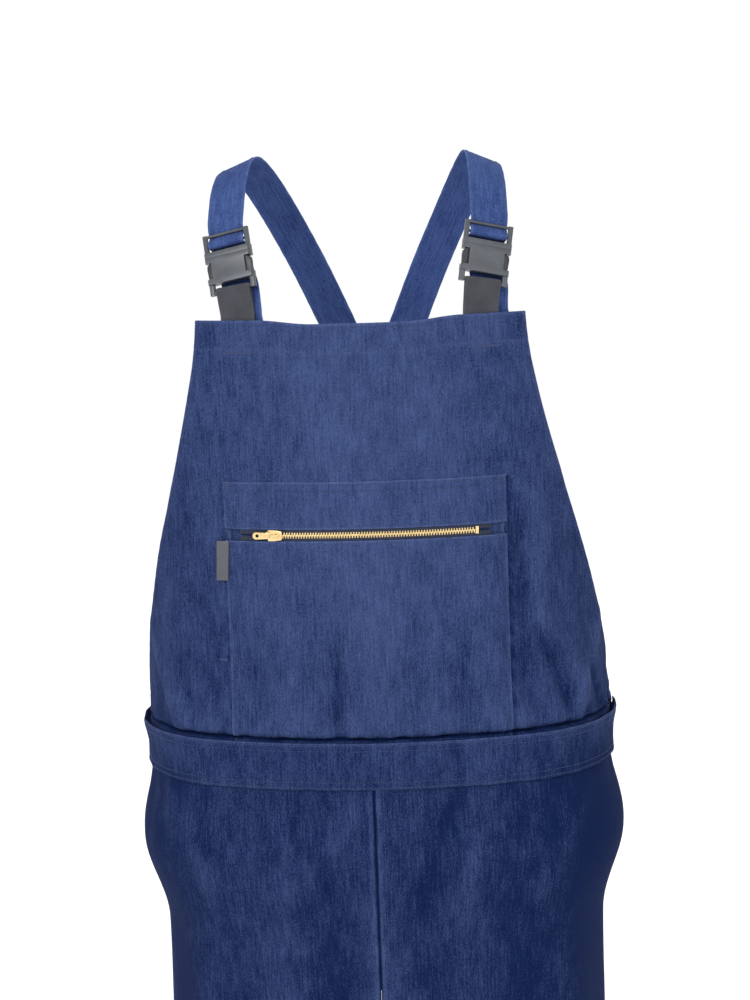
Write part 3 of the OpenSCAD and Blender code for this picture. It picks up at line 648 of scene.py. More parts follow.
def sheet_piece(name, s, z, d, wear_and_shade):
    """Cloth on the form at grids s and z, d outwards, with its folds added."""
    points = on_form(s, z, d + folds(s, z))
    uv = np.stack(np.broadcast_arrays(s, z), -1) / 1000
    rows, cols = z.shape
    piece = new_piece(name, points, faces_of(rows, cols), uv,
                      # Painted shade and highlight from the leg sides, the tuck and the folds join the
                      # wear here
                      np.broadcast_to(wear_and_shade + fade_and_shade(s, z) + fold_wear_and_shade(s, z), z.shape))
    return thicken(piece, CLOTH)


# %% The bib's cut and surface
def bib_half(z):
    up = np.clip(z / BIB_H, 0, 1)
    return BIB_TOP_W / 2 + (2 * HALF_WAIST - BIB_TOP_W) / 2 * np.cos(np.pi / 2 * up) ** 1.6


def bib_top(x):
    return BIB_H - BIB_DIP * (1 - smooth((np.abs(x) - 40) / 50))


def bib_reach(z):
    return reach_x(np.minimum(bib_half(np.maximum(z, 0)), half_w(z)), z)


def over_webbing(s, down):
    """1 where the webbing is sewn behind the bib, easing to 0 within 3 mm."""
    across = smooth((WEBBING_W / 2 + 1.5 - np.abs(np.abs(s) - WEB_X - 3)) / 2)
    return across * smooth((36 - down) / 3)


def hem_lift(s, down):
    """The bib's top hem: 0.9 mm proud over the webbing, with small puckers along
    it that are strongest 10 mm below the edge."""
    puckers = 0.28 * ripple(s / 9, 44) * np.exp(-((down - 10) / 9) ** 2)
    return 0.9 * over_webbing(s, down) * smooth((down - 0.5) / 3) + puckers


BIB_MID = 180.0
SIDE_ROW, TOP_ROW, FACING_ROW = 4.0, 3.0, 25.0
span = ticks(-BIB_MID, BIB_MID, 3.4, (-BIB_MID, BIB_MID), (SIDE_ROW - BIB_MID, BIB_MID - SIDE_ROW))
# Extra grid rows where the bib tucks in over the band
TUCK_ROWS = (1.1, 3.2, 5.2, 8.0)
rise = ticks(-BIB_LOW, BIB_H, 3.2, (BIB_H,), (BIB_H - TOP_ROW, BIB_H - FACING_ROW, *TUCK_ROWS))
SPAN, RISE = np.meshgrid(span, rise)
tall = mix(-BIB_LOW, bib_top(SPAN / BIB_MID * BIB_TOP_W / 2), (RISE + BIB_LOW) / (BIB_H + BIB_LOW))
s_bib = SPAN / BIB_MID * bib_reach(tall)
from_side, from_top = BIB_MID - np.abs(SPAN), BIB_H - RISE
shape = (roll(from_side) + roll(from_top) + groove(from_side, SIDE_ROW, tall, 41)
         + groove(from_top, TOP_ROW, s_bib, 42) + groove(from_top, FACING_ROW, s_bib, 43, 0.25))
shape = shape + hem_lift(s_bib, from_top)
# Painted shadow beside the pocket's side edges, below its top, stronger on the right
pocket_edge_shadow = np.exp(-((np.abs(s_bib) - POCKET_W / 2 - 1.6) / 2.0) ** 2) * (tall < POCKET_TOP)
rub_and_shade = (rubbed(from_side, 51, tall) + rubbed(from_top, 52, s_bib)
       + 0.12 * np.exp(-((from_top - FACING_ROW) / 1.5) ** 2)
       - np.where(s_bib > 0, 0.36, 0.16) * pocket_edge_shadow + 0.055 * over_webbing(s_bib, from_top))
bib = finish(sheet_piece("bib_cloth", s_bib, tall, shape, rub_and_shade), DENIM,
             replaces=("bib_panel",))
show_reverse(bib)
cut_z = np.linspace(-BIB_LOW, BIB_H, 200)
cut_area = float(np.mean(2 * bib_reach(cut_z))) * (BIB_H + BIB_LOW) / 1e6
2 * float(bib_reach(0.0)) / 1000
print("bib cut:", round(cut_area, 3), "square metres")
print("bib:", len(bib.data.vertices), "points")

# %% [markdown]
# ## Facings
# Inside, denim shows its paler reverse, white weft over blue warp. A hem that is
# turned under has its right side showing again, so it is dark and less faded.

# %% Facings behind the bib
def plain_sheet(name, s_edges, z_edges, d, nodes, flat, rise_step=6.0):
    """A sheet between two lines of s, and of z, that share one grid."""
    u, v = np.meshgrid(np.linspace(0, 1, max(3, int(flat[0] * 1000 / 6.0))),
                       np.linspace(0, 1, max(3, int(flat[1] * 1000 / rise_step))))
    z = z_edges(u, v)
    s = s_edges(u, z)
    edge = np.minimum(np.minimum(u, 1 - u) * flat[0], np.minimum(v, 1 - v) * flat[1]) * 1000
    piece = sheet_piece(name, s, z, d + 0 * u, rubbed(edge, 61, s + z))
    finish(piece, DENIM, replaces=nodes)


plain_sheet("bib_top_turned_under", lambda u, z: (2 * u - 1) * bib_reach(z) * 0.985,
            lambda u, v: mix(-28, -1, v) + bib_top((2 * u - 1) * BIB_TOP_W / 2),
            FACING, ("bib_top_facing",), (0.297, 0.027))
for side, name in ((-1, "left"), (1, "right")):
    plain_sheet(f"bib_side_turned_under_{name}",
                lambda u, z, g=side: g * (bib_reach(z) - 1.5 - 13 * (u if g < 0 else 1 - u)),
                lambda u, v: mix(GAP, BIB_H - 31, v), FACING - 2 * GAP,
                (f"bib_side_facing_{name}",), (0.013, 0.380), rise_step=0.9)

# %% [markdown]
# ## The zipped pocket
# The pocket is two pieces of denim with folded edges on either side of the zip.
# It lies flat on the bib, and rises over the zip's tapes just enough to clear them.

# %% The pocket's two pieces
POCKET_ROWS, ZIP_ROW = (2.2, 8.2), 1.8
ZIP_TOP, ZIP_LOW = ZIP_H + ZIP_GAP / 2, ZIP_H - ZIP_GAP / 2


def pocket_lift(s, z):
    """Rise over the tapes, fading over 22 mm above and below, and at the ends."""
    ends = smooth((POCKET_W / 2 - np.abs(s)) / 14)
    return POCKET_RISE * ends * smooth((ZIP_GAP + 30 - np.abs(z - ZIP_H)) / 22)


def pocket_piece(name, low, high, upper, node, seed):
    """One piece of the pocket, from low to high, folded at its sides and at the zip.
    The upper one has the pocket's stitched top edge too."""
    half = POCKET_W / 2
    columns = [k * (half - r) for k in (-1, 1) for r in POCKET_ROWS]
    s_at = ticks(-half, half, 3.4, (-half, half), columns)
    rows = [low + ZIP_ROW, *(high - r for r in POCKET_ROWS)] if upper else [high - ZIP_ROW, *TUCK_ROWS]
    s, z = np.meshgrid(s_at, ticks(low, high, 3.2, (low, high), rows))
    e_side, e_zip = half - np.abs(s), np.abs(z - (low if upper else high))
    d = POCKET + pocket_lift(s, z) + roll(e_side, 1.6, 0.9) + roll(e_zip, 1.2, 0.5)
    d += sum(groove(e_side, r, z, seed + i) for i, r in enumerate(POCKET_ROWS))
    d += groove(e_zip, ZIP_ROW, s, seed + 5)
    wear_and_shade = rubbed(e_side, seed + 6, z) + rubbed(e_zip, seed + 7, s)
    if upper:
        e_top = np.abs(z - high)
        d += roll(e_top, 1.6, 0.9)
        d += sum(groove(e_top, r, s, seed + 8 + i) for i, r in enumerate(POCKET_ROWS))
        wear_and_shade = wear_and_shade + rubbed(e_top, seed + 10, s)
    piece = finish(sheet_piece(name, s, z, d, wear_and_shade + 0.02), DENIM, replaces=(node,))


pocket_piece("pocket_upper_cloth", ZIP_TOP, POCKET_TOP, True, "pocket_upper_strip", 70)
pocket_piece("pocket_front_cloth", -BIB_LOW, ZIP_LOW, False, "pocket_front", 90)

# %% The blank label in the pocket's seam
u, v = np.meshgrid(np.linspace(0, 1, 14), np.linspace(0, 1, 30))
s_label = -POCKET_W / 2 + 11 * (0.35 - u) - 2.2 * (1 - v)
z_label = ZIP_H - 6 - 36 * (1 - v)
lift = POCKET + 1.5 + 0.9 * u ** 2 + 0.25 * np.sin(v * 9) * u
lift = lift + 0.3 * np.exp(-((v - 0.5) / 0.5) ** 2)
label_points = on_form(s_label, z_label, lift + folds(s_label, z_label))
label = new_piece("blank_label", label_points, faces_of(*u.shape),
                  np.stack([u * 0.011, v * 0.036], -1),
                  0.3 + rubbed(np.minimum(v, 1 - v) * 36, 66, u * 11))
finish(thicken(label, 0.7), LABEL, replaces=("label_tab",))

# %% [markdown]
# ## Waistband
# The band goes all round. In front it is a flat double layer, which stands a little
# proud of the bib at its top edge. Behind, elastic gathers it into close puckers.

# %% The waistband, front and back
BAND_ROWS, BACK_ROWS = (2, 7), (2 / 50, 7 / 50, 43 / 50, 48 / 50)
ROUND = np.linspace(0, np.pi, 721)
ROUND_S = reach(ROUND, 0.0)
HALF_ROUND = float(ROUND_S[-1])


def band_flare(s, z, rise):
    """How the front band stands off at its top edge, most at the sides."""
    return rise * smooth((z + 20) / 20) * (0.55 + 0.5 * smooth((np.abs(s) - 150) / 60)
                                           + 0.12 * ripple(s / 40, 84))


def gather_back(s, v):
    """Close puckers where the elastic pulls, past 126 degrees round the waist."""
    start = float(reach(np.radians(126.0), 0.0))
    puckers = 0.85 * ripple(s / 8, 83, 5, 1.7) * smooth((np.abs(s) - start) / 30)
    return puckers * (0.75 + 0.25 * np.sin(v * 8 + s / 13))


def back_rise(angle):
    degrees = np.degrees(angle)
    return BAND_RISE * smooth((degrees - 85) / 60) + 5 * smooth((degrees - 80) / 12)


def round_back(turn, low, v):
    """s and z on the back band at a distance right round and a share v of its height."""
    q = np.minimum(turn, 2 * HALF_ROUND - turn)
    s = np.where(turn <= HALF_ROUND, turn, turn - 2 * HALF_ROUND)
    return s, mix(low, back_rise(np.interp(q, ROUND_S, ROUND)), v)


# Where a short joining piece is let into the band, on the wearer's left
BAND_JOINS = (82.0, 127.0)


def band_piece(name, half, d, nodes, flare, rows):
    """The front half of the band: distance s each way, and height z."""
    s, z = np.meshgrid(ticks(-half, half, 3.6, (-half, half)),
                       ticks(-BAND_H, 0, 2.4, (-BAND_H, 0), [-r for r in rows]
                             + [r - BAND_H for r in rows]))
    e_top, e_low = -z, z + BAND_H
    out = d + band_flare(s, z, flare) + roll(e_top, 1.5, 0.7) + roll(e_low, 1.5, 0.7)
    out += sum(groove(e, r, s, 85 + i) for i, r in enumerate(rows) for e in (e_top, e_low))
    wear_and_shade = rubbed(e_top, 88, s) + 0.35 * rubbed(e_low, 89, s)
    if nodes == ("waistband_front",):
        out += sum(0.5 * np.exp(-((s - join) / 1.8) ** 2) for join in BAND_JOINS)
        wear_and_shade = wear_and_shade + 0.06 * smooth((s - BAND_JOINS[0]) / 3) * smooth((BAND_JOINS[1] - s) / 3)
    piece = finish(sheet_piece(name, s, z, out, wear_and_shade + 0.05), DENIM, replaces=nodes)


def back_band_piece(name, start, low, d, material, nodes, rows, top=1.0, thickness=CLOTH):
    """The back of the band, from one side through the centre back to the other."""
    s0, end = float(reach(np.radians(start), 0.0)), HALF_ROUND
    shares = sorted(set(np.linspace(0, 1, 18)) | {r / 50 for r in rows} | {1 - r / 50 for r in rows})
    turn, v = np.meshgrid(ticks(s0, 2 * end - s0, 2.2, (s0, 2 * end - s0)), np.array(shares) * top)
    s, z = round_back(turn, low, v)
    gathered, e = gather_back(s, v), np.minimum(v, 1 - v) * 50
    out = d + gathered + roll(e, 1.5, 0.6) + sum(groove(e, r, s, 97 + r) for r in rows)
    piece = new_piece(name, on_form(s, z, out), faces_of(*s.shape), np.stack([turn, z], -1) / 1000,
                      0.22 + 0.08 * gathered + rubbed(e, 99, s))
    finish(thicken(piece, thickness), material, replaces=nodes)


FRONT_END = float(reach(np.radians(101.0), 0.0))
FRONT_FLARE = 1.9
band_piece("waistband_front_cloth", FRONT_END, BAND + GAP, ("waistband_front",),
           FRONT_FLARE, BAND_ROWS)
band_piece("waistband_front_inside", float(reach(np.radians(92.0), 0.0)), FACING,
           ("waistband_front_facing",), 0.0, (3,))
back_band_piece("waistband_back_cloth", 94, -BAND_H, BACK_BAND, DENIM,
                ("waistband_back",), BAND_ROWS)
back_band_piece("waistband_back_inside", 94, -BAND_H, FACING, DENIM,
                ("waistband_back_facing",), (3,))
back_band_piece("waist_elastic_band", 128, -BAND_H + 4, 0.0, ELASTIC,
                ("waist_elastic",), (), 0.8, 0.8)

# %% [markdown]
# ## Leg panels
# Below the band, two panels are sewn together down the centre front, and part
# lower down. Each one starts on the hips' oval and passes smoothly to a thigh's.

# %% The two panels and their hems
LEG_X, LEG_RX = HALF_WAIST / 2 - 0.5, HALF_WAIST / 2 - 10.5
LEG_Y, LEG_RY = -4.0, HALF_DEEP - 14
PANEL_TOP, PANEL_W, PANEL_TURN = BIB_LOW + 3, 350.0, np.radians(117.0)
# The lapped seam's stitch row, its edge row, and the side hem's row
LAP_ROW, LAP_EDGE_ROW, SIDE_HEM_ROW = 8.5, 2.0, 4


def leg_point(g, u, z, d):
    """Mix of the hips' form and the thigh's ellipse, from -66 to 126 degrees."""
    hips = on_form(mix(0.2, reach(PANEL_TURN, z), u), z, d)
    angle = np.radians(mix(-66.0, 126.0, u))
    thigh = np.stack([LEG_X + (LEG_RX + d) * np.sin(angle),
                      LEG_Y - (LEG_RY + d) * np.cos(angle), z], -1)
    low = smooth((-z - SEAM_H) / (SKIRT_H - SEAM_H))
    share = mix(low, smooth((-z - 60) / 320), smooth(u * 1.2))[..., None]
    return mix(hips, thigh, share) * [g, 1, 1]


def leg_lift(g, a, s, z, seam):
    """Folds, the cloth's rise where it leaves the band, and the centre seam's ridge,
    which is higher on the side g = 1, where the other panel is folded under it."""
    lift = folds(s, z) + 2.0 * np.exp(-((-z - BAND_H - 10) / 12) ** 2) * smooth((250 - np.abs(s)) / 60)
    ridge = (1 - np.exp(-(a / 1.7) ** 2)) * (1 - smooth((a - 8) / 26))
    return lift + seam * ridge * (1.7 + 0.7 * smooth((10 - a) / 2) if g > 0 else 0.9)


def leg_piece(name, g, low, high, d, node, panel, inset=0.0):
    """A panel, or its hem, on the side g, with its seam, side hem and bottom hem."""
    u_at = ticks(inset, PANEL_W - inset, 3.8, (0, PANEL_W),
                 (LAP_EDGE_ROW, LAP_ROW, PANEL_W - SIDE_HEM_ROW))
    a, z = np.meshgrid(u_at, ticks(low, high, 3.8, (low,), (-SKIRT_H + HEM_H - 2,)))
    u, e_side, e_bottom = a / PANEL_W, PANEL_W - a, z + SKIRT_H
    s = g * u * reach(PANEL_TURN, z)
    out = d + leg_lift(g, a, s, z, panel)
    if panel:
        out = out - 0.5 * np.exp(-(a / 1.3) ** 2) * smooth((z + SEAM_H + 30) / 40)
        out += groove(e_side, SIDE_HEM_ROW, z, 105) + roll(e_side, 1.5, 0.9) + roll(e_bottom, 1.5, 0.9)
        out += groove(e_bottom, HEM_H - 2, s, 106) + (groove(a, LAP_ROW, z, 107) if g > 0 else 0)
    # Wear, with painted shade on the leg sides and in the fold valleys, and painted highlight on the
    # fold tops
    wear_and_shade = fade_and_shade(s, z) + fold_wear_and_shade(s, z) + rubbed(e_bottom, 108, s, 2.0) + rubbed(e_side, 109, z)
    # Painted shade in the centre seam itself, and a paler ridge beside it as wear
    wear_and_shade = wear_and_shade + (0.22 * np.exp(-((a - 3.2) / 1.6) ** 2) - 0.4 * np.exp(-(a / 1.4) ** 2)) * panel
    piece = new_piece(name, leg_point(g, u, z, out), faces_of(*a.shape)[:, ::g],
                      np.stack([g * a, z], -1) / 1000, wear_and_shade)
    finish(thicken(piece, CLOTH), DENIM, replaces=(node,))
    if panel:
        show_reverse(piece)


for g, name in ((-1, "left"), (1, "right")):
    leg_piece(f"leg_cloth_{name}", g, -SKIRT_H, -PANEL_TOP, 0.0,
              f"leg_panel_{name}", True)
    leg_piece(f"leg_hem_turned_up_{name}", g, 1 - SKIRT_H, HEM_H - SKIRT_H, FACING,
              f"leg_hem_{name}", False, 3.5)
plain_sheet("centre_seam_binding", lambda u, z: (u - 0.5) * 18 + 0 * z,
            lambda u, v: mix(-SEAM_H, -BAND_H - 1, v), FACING, ("centre_seam_tape",),
            (0.018, 0.191))

# %% [markdown]
# ## Where the buckles sit
# Each buckle lies on the chest between its webbing, low down, and its strap, high
# up. Its own axes are u across, v up the strap and w outwards. The left one is the
# mirror image of the right one.

# %% The buckle's axes
BUCKLE_T, SOCKET_L, SLOT, WEB_BAR_R, LADDER_R = 9.0, 24.0, 5.5, 2.0, 1.4
WEB_BAR_Y = -SOCKET_L - SLOT - WEB_BAR_R
MID_BAR_Y = 5.0 + SLOT + LADDER_R - 0.1
TOP_BAR_Y = MID_BAR_Y + SLOT + 2 * LADDER_R


def unit(a):
    return a / np.linalg.norm(a, axis=-1, keepdims=True)


def out_front(x):
    a = math.asin(x / FRONT_R)
    return np.array([math.sin(a), -math.cos(a), 0.0])


web_bar = on_front(WEB_X, BIB_H + 28, 2.2)
BUCKLE_V = unit(on_front(WEB_X + 7, BIB_H + 77, 2.6) - web_bar)
facing_out = out_front(WEB_X + 3)
BUCKLE_W = unit(facing_out - (facing_out @ BUCKLE_V) * BUCKLE_V)
BUCKLE_U = np.cross(BUCKLE_V, BUCKLE_W)
BUCKLE_O = web_bar - WEB_BAR_Y * BUCKLE_V


def in_buckle(u, v, w):
    return BUCKLE_O + u * BUCKLE_U + v * BUCKLE_V + w * BUCKLE_W


def local_stop(u, v, w, tilt):
    """A point in the buckle, facing outwards but tilted up the strap, in degrees."""
    a = math.radians(tilt)
    return in_buckle(u, v, w), math.sin(a) * BUCKLE_V + math.cos(a) * BUCKLE_W


def web_stop(x, z, d):
    return on_front(x, z, d), out_front(x)


def smooth_path(stops, steps):
    """Catmull-Rom curve through stops of (point, facing): each span passes through
    its ends with the slope of the chord between their neighbours."""
    p = np.array([np.concatenate(stop) for stop in stops])
    ends = np.vstack([p[:1], p, p[-1:]])
    t = np.arange(steps) / steps
    a, b, c, d = (ends[k:len(p) - 1 + k, None] for k in range(4))
    t = t[None, :, None]
    path = 0.5 * (2 * b + (c - a) * t + (2 * a - 5 * b + 4 * c - d) * t ** 2
                  + (3 * b - a - 3 * c + d) * t ** 3)
    path = np.vstack([path.reshape(-1, 6), p[-1:]])
    return path[:, :3], unit(path[:, 3:])


def even_path(points, facing, step):
    """The same path at even distances along it."""
    run = np.concatenate([[0], np.cumsum(np.linalg.norm(np.diff(points, axis=0), axis=1))])
    at = np.linspace(0, run[-1], int(run[-1] / step) + 1)
    pick = lambda a: np.stack([np.interp(at, run, a[:, k]) for k in range(3)], -1)
    return pick(points), unit(pick(facing)), at


def frames_of(points, facing):
    """Along, across and upward directions at each point of a path."""
    way = unit(np.gradient(points, axis=0))
    across = unit(np.cross(way, facing))
    return way, across, np.cross(across, way)


def settled(across, near):
    """A running mean of the across directions, so that a ribbon twists gradually."""
    padded = np.pad(across, ((near + 1, near), (0, 0)), mode="edge")
    total = np.cumsum(padded, axis=0)
    return unit(total[2 * near + 1:] - total[:-2 * near - 1])


def outward(mesh):
    """Make a closed mesh's faces all point outwards."""
    work = bmesh.new()
    work.from_mesh(mesh)
    bmesh.ops.recalc_face_normals(work, faces=work.faces)
    work.to_mesh(mesh)
    work.free()


def band_mesh(name, points, facing, run, width, thick, edge_puff, seed, mirror, slot_shade=0.0, settle=0):
    """A ribbon of rounded section carried along a path. Round its section, x is
    w/2 cos(a)^0.35 and y is t/2 sin(a)^0.6, a little thicker beside each edge."""
    way, across, up = frames_of(points, facing)
    if settle:
        across = settled(across, settle)
        up = np.cross(across, way)
    a = np.arange(28) / 28 * math.tau
    x = np.sign(np.cos(a)) * np.abs(np.cos(a)) ** 0.35 * width / 2
    from_edge, run = width / 2 - np.abs(x), run[:, None]
    puff = 1 + edge_puff * (np.exp(-((from_edge - 2.4) / 1.3) ** 2)
                            - np.exp(-((from_edge - 4.3) / 0.8) ** 2))
    y = np.sign(np.sin(a)) * np.abs(np.sin(a)) ** 0.6 * thick / 2 * puff
    wander = 0.22 * ripple(run / 24, seed) * np.abs(x / width * 2) ** 3
    sideways = x * (1 + 0.006 * ripple(run / 11, seed + 1))
    ring = points[:, None] + across[:, None] * sideways[..., None] \
        + up[:, None] * (y + wander)[..., None]
    n, m = len(points), len(a)
    uv = np.stack(np.broadcast_arrays(x / 1000 + 0.02 * (y > 0), run / 1000), -1)
    wear_and_shade = 0.32 + rubbed(from_edge, seed + 2, run + 0 * x, 1.0) + 0.05 * ripple(run / 60, seed + 3)
    # Painted shade on the strap about 80 mm along, where its tail lies behind the buckle and shows
    # through the slot
    wear_and_shade = wear_and_shade - slot_shade * np.exp(-((run - 80) / 22) ** 4)
    ends = [list(range(m))[::-1], list(range(n * m - m, n * m))]
    piece = new_piece(name, ring * ([-1, 1, 1] if mirror else [1, 1, 1]),
                      faces_of(n, m, wrap=True).tolist() + ends, uv, wear_and_shade)
    outward(piece.data)
    return piece


# %% [markdown]
# ## Webbing loops and shoulder straps
# Grey webbing is folded round the socket's bar, and both its ends go down behind
# the bib. The denim strap threads the clip's two-bar ladder: behind the top bar,
# over the middle one, and back through the slot, so that its own pull locks it.
# Its loose end hangs behind the buckle. Up and over the shoulders it crosses the
# other strap, and it ends inside the back of the waistband.

# %% The webbing's path and the strap's path
LADDER_GRIP = LADDER_R + 0.3 + STRAP_T / 2
LOOP_R = WEB_BAR_R + 0.25 + WEBBING_T / 2
TAIL_SWING = {-1: -10.0, 1: 20.0}
TAIL_LEAN = 0.9
PLY_FRONT = FACING - CLOTH / 2 - 2 * GAP - WEBBING_T / 2
PLY_BACK = PLY_FRONT - WEBBING_T - 0.2
TAIL_D = PLY_BACK - WEBBING_T / 2 - 6 * GAP - STRAP_T / 2
TAIL_W = -BUCKLE_T / 2 - 2 * GAP - STRAP_T / 2
END_D = FACING - CLOTH / 2 - 4 * GAP - STRAP_T / 2


def flipped(stop):
    return stop[0], -stop[1]


def round_bar(height, radius, degrees, way_v, way_w):
    """Stops round a bar across the buckle: at angle a each faces way_v(a) up the
    strap and way_w(a) outwards, and lies that way from the bar by the radius. A
    negative radius puts them on the other side, facing the bar."""
    stops = []
    for a in np.radians(degrees):
        facing = way_v(a) * BUCKLE_V + way_w(a) * BUCKLE_W
        stops.append((in_buckle(0, height, 0) + radius * facing, facing))
    return stops


def webbing_path():
    around = round_bar(WEB_BAR_Y, LOOP_R, np.arange(-35, 206, 20), math.sin, math.cos)
    return ([web_stop(WEB_X - 1, BIB_H + z, PLY_FRONT) for z in (-34, -16, 0)]
            + [web_stop(WEB_X - 0.6, BIB_H + 10, PLY_FRONT + 1)] + around
            + [flipped(web_stop(WEB_X - 0.6, BIB_H + 10, PLY_BACK + 0.4))]
            + [flipped(web_stop(WEB_X - 1, BIB_H + z, PLY_BACK)) for z in (0, -16, -34)])


OVER_SHOULDER = [((7.5, 55 - HALF_DEEP, -44), (0.26, -0.83, 0.49)),
                 ((6, 78 - HALF_DEEP, -18), (0.28, -0.62, 0.73)),
                 ((2.5, -14, -2.5), (0.38, -0.22, 0.90)), ((-3.5, 24, -5), (0.44, 0.22, 0.87)),
                 ((-14.5, HALF_DEEP - 66, -25), (0.38, 0.62, 0.68)),
                 ((-31.5, HALF_DEEP - 38, -61), (0.26, 0.86, 0.43)),
                 ((-53.5, HALF_DEEP - 22, -109), (0.14, 0.96, 0.22))]
DOWN_BACK = [(31, 0.671), (5, 0.549), (-22, 0.418), (-49, 0.284), (-76, 0.148), (-98, 0.043),
             (-111, -0.027)]


def strap_path(g):
    """Tail, ladder, shoulder, crossing and waist, for the strap on the side g."""
    swing = TAIL_SWING[g]
    tail = [web_stop(WEB_X - 1 + swing * (30 - z) / 64, BIB_H + z, TAIL_D) for z in (-34, -18, 0)]
    for v in (-34, -20, -6, 3):
        down = min(1, max(0, -v / 34))
        tail.append(local_stop(swing * 0.45 * down, v, TAIL_W - TAIL_LEAN * down, 0))
    tail += [local_stop(0, MID_BAR_Y - LADDER_GRIP - 1.5, TAIL_W + 0.4, -45),
             local_stop(0, MID_BAR_Y - LADDER_GRIP - 0.3, -3.1, -80)]
    ladder = round_bar(MID_BAR_Y, LADDER_GRIP, np.arange(0, 151, 25), lambda a: -math.cos(a), math.sin)
    ladder += round_bar(TOP_BAR_Y, -LADDER_GRIP, np.arange(30, 91, 20), math.cos, math.sin)
    over = [local_stop(0, TOP_BAR_Y + 6, -2.2, 0)]
    over += [(np.array(p, float) + [WEB_X, 0, SHOULDER_H], np.array(n)) for p, n in OVER_SHOULDER]
    lift = (-0.5 if g > 0 else 0.5) * (STRAP_T + 4 * GAP)
    for x, share in DOWN_BACK:
        z = share * SHOULDER_H
        d = mix(END_D, lift + 2, float(smooth((z - 40) / 90)))
        over.append((on_front(x, z, d) * [1, -1, 1], out_front(x) * [1, -1, 1]))
    return tail + ladder + over


STRAP_DENIM = denim("strap denim", (0.015, 0.030, 0.110, 1), (0.125, 0.20, 0.47, 1))
strap_lines = {}
for g, side in ((-1, "left"), (1, "right")):
    points, facing, run = even_path(*smooth_path(webbing_path(), 6), 0.9)
    loop = band_mesh(f"webbing_{side}", points, facing, run, WEBBING_W, WEBBING_T, 0.15, 120,
                     g < 0, settle=14)
    finish(loop, WEBBING, replaces=(f"webbing_loop_{side}",))
    points, facing, run = even_path(*smooth_path(strap_path(g), 8), 1.8)
    strap_lines[side] = (points, facing, run)
    # The strap gets 0.45 of painted shade where it shows through the buckle's slot
    strap = band_mesh(f"strap_cloth_{side}", points, facing, run, STRAP_W, STRAP_T, 0.14, 130 + g,
                      g < 0, 0.45)
    strap.data.materials.append(STRAP_DENIM)
    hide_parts(f"strap_{side}")
    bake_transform(strap)
    print(side, "strap", round(float(run[-1])), "mm long")

# %% [markdown]
# ## Topstitching
# Every row of stitches is real thread: short capsules, a little arched, that dip
# into the cloth at both ends. One small template is copied along each row at once.

# %% Stitches as one mesh
STITCH, PITCH, THREAD_R = 2.5, 3.3, 0.27
# How far a row of stitches sinks into the cloth under it
SUNK = 0.12


def stitch_template():
    """Rings of six points: radius r(t) = R sqrt(1 - t^8), arched by 0.3(1 - t^2)."""
    t = np.array([-1, -0.82, -0.35, 0.35, 0.82, 1.0])
    a = np.arange(6) / 6 * math.tau
    radius = THREAD_R * np.sqrt(np.clip(1 - t ** 8, 0.02, 1))
    arch = 0.30 * (1 - t ** 2) - 0.16
    ring = np.stack([np.repeat(t[:, None] * STITCH / 2, 6, 1), radius[:, None] * np.cos(a),
                     radius[:, None] * np.sin(a) + arch[:, None]], -1)
    return ring.reshape(-1, 3), faces_of(6, 6, wrap=True)


TEMPLATE, TEMPLATE_FACES = stitch_template()


def row_at(points, facing):
    """Stitch centres and their three directions along one row."""
    centre, normal, _ = even_path(points, facing, PITCH)
    way, across, up = frames_of(centre, normal)
    return centre, way, across, up


def stitches(name, rows, blend=None):
    """One mesh of all the stitches in several rows."""
    centre, way, across, up = (np.concatenate(part)[:, None] for part in zip(*rows))
    t, count = TEMPLATE, np.arange(len(centre))
    spots = centre + t[:, :1] * way + t[:, 1:2] * across + t[:, 2:] * up
    faces = (TEMPLATE_FACES + count[:, None, None] * len(t)).reshape(-1, 4)
    uv = np.broadcast_to(t[:, :2] / 1000, (len(count), len(t), 2))
    wear_and_shade = np.broadcast_to(0.35 + 0.2 * ripple(count / 3, 7)[:, None], spots.shape[:2])
    piece = new_piece(name, spots, faces, uv, wear_and_shade)
    outward(piece.data)
    piece.data.materials.append(THREAD)
    if blend:
        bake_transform(piece)
    else:
        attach(piece, "garment")
    return piece


def on_cloth(s, z, d):
    """A row of stitches on top of a layer whose middle is at d on the form."""
    s, z = np.broadcast_arrays(np.asarray(s, float), np.asarray(z, float))
    base = d + CLOTH / 2 - SUNK + folds(s, z)
    low, high = on_form(s, z, base), on_form(s, z, base + 1)
    return row_at(low, unit(high - low))


def line(low, high, step=2.0):
    return np.linspace(low, high, int(abs(high - low) / step) + 2)


# %% Rows on the bib and its pocket
z_side = line(2, BIB_H - 3)
side_share = 1 - SIDE_ROW / BIB_MID
rows = [on_cloth(g * side_share * bib_reach(z_side), z_side, 0) for g in (-1, 1)]
for down in (TOP_ROW, FACING_ROW):
    t = line(-1, 1, 0.012) * 0.985
    z_row = mix(-BIB_LOW, bib_top(t * BIB_TOP_W / 2), (BIB_H - down + BIB_LOW) / (BIB_H + BIB_LOW))
    s_row = t * bib_reach(z_row)
    rows.append(on_cloth(s_row, z_row, hem_lift(s_row, down)))
stitches("bib_topstitching", rows)

half, rows = POCKET_W / 2, []
for r in POCKET_ROWS:
    for g in (-1, 1):
        for low, high in ((2, ZIP_LOW - 2), (ZIP_TOP + 2, POCKET_TOP - 2)):
            z = line(low, high)
            s = np.full_like(z, g * (half - r))
            rows.append(on_cloth(s, z, POCKET + pocket_lift(s, z)))
    s = line(-half + 2, half - 2)
    rows.append(on_cloth(s, POCKET_TOP - r, POCKET + pocket_lift(s, POCKET_TOP - r)))
for z in (ZIP_TOP + ZIP_ROW, ZIP_LOW - ZIP_ROW):
    rows.append(on_cloth(s, z, POCKET + pocket_lift(s, z)))
stitches("pocket_topstitching", rows)

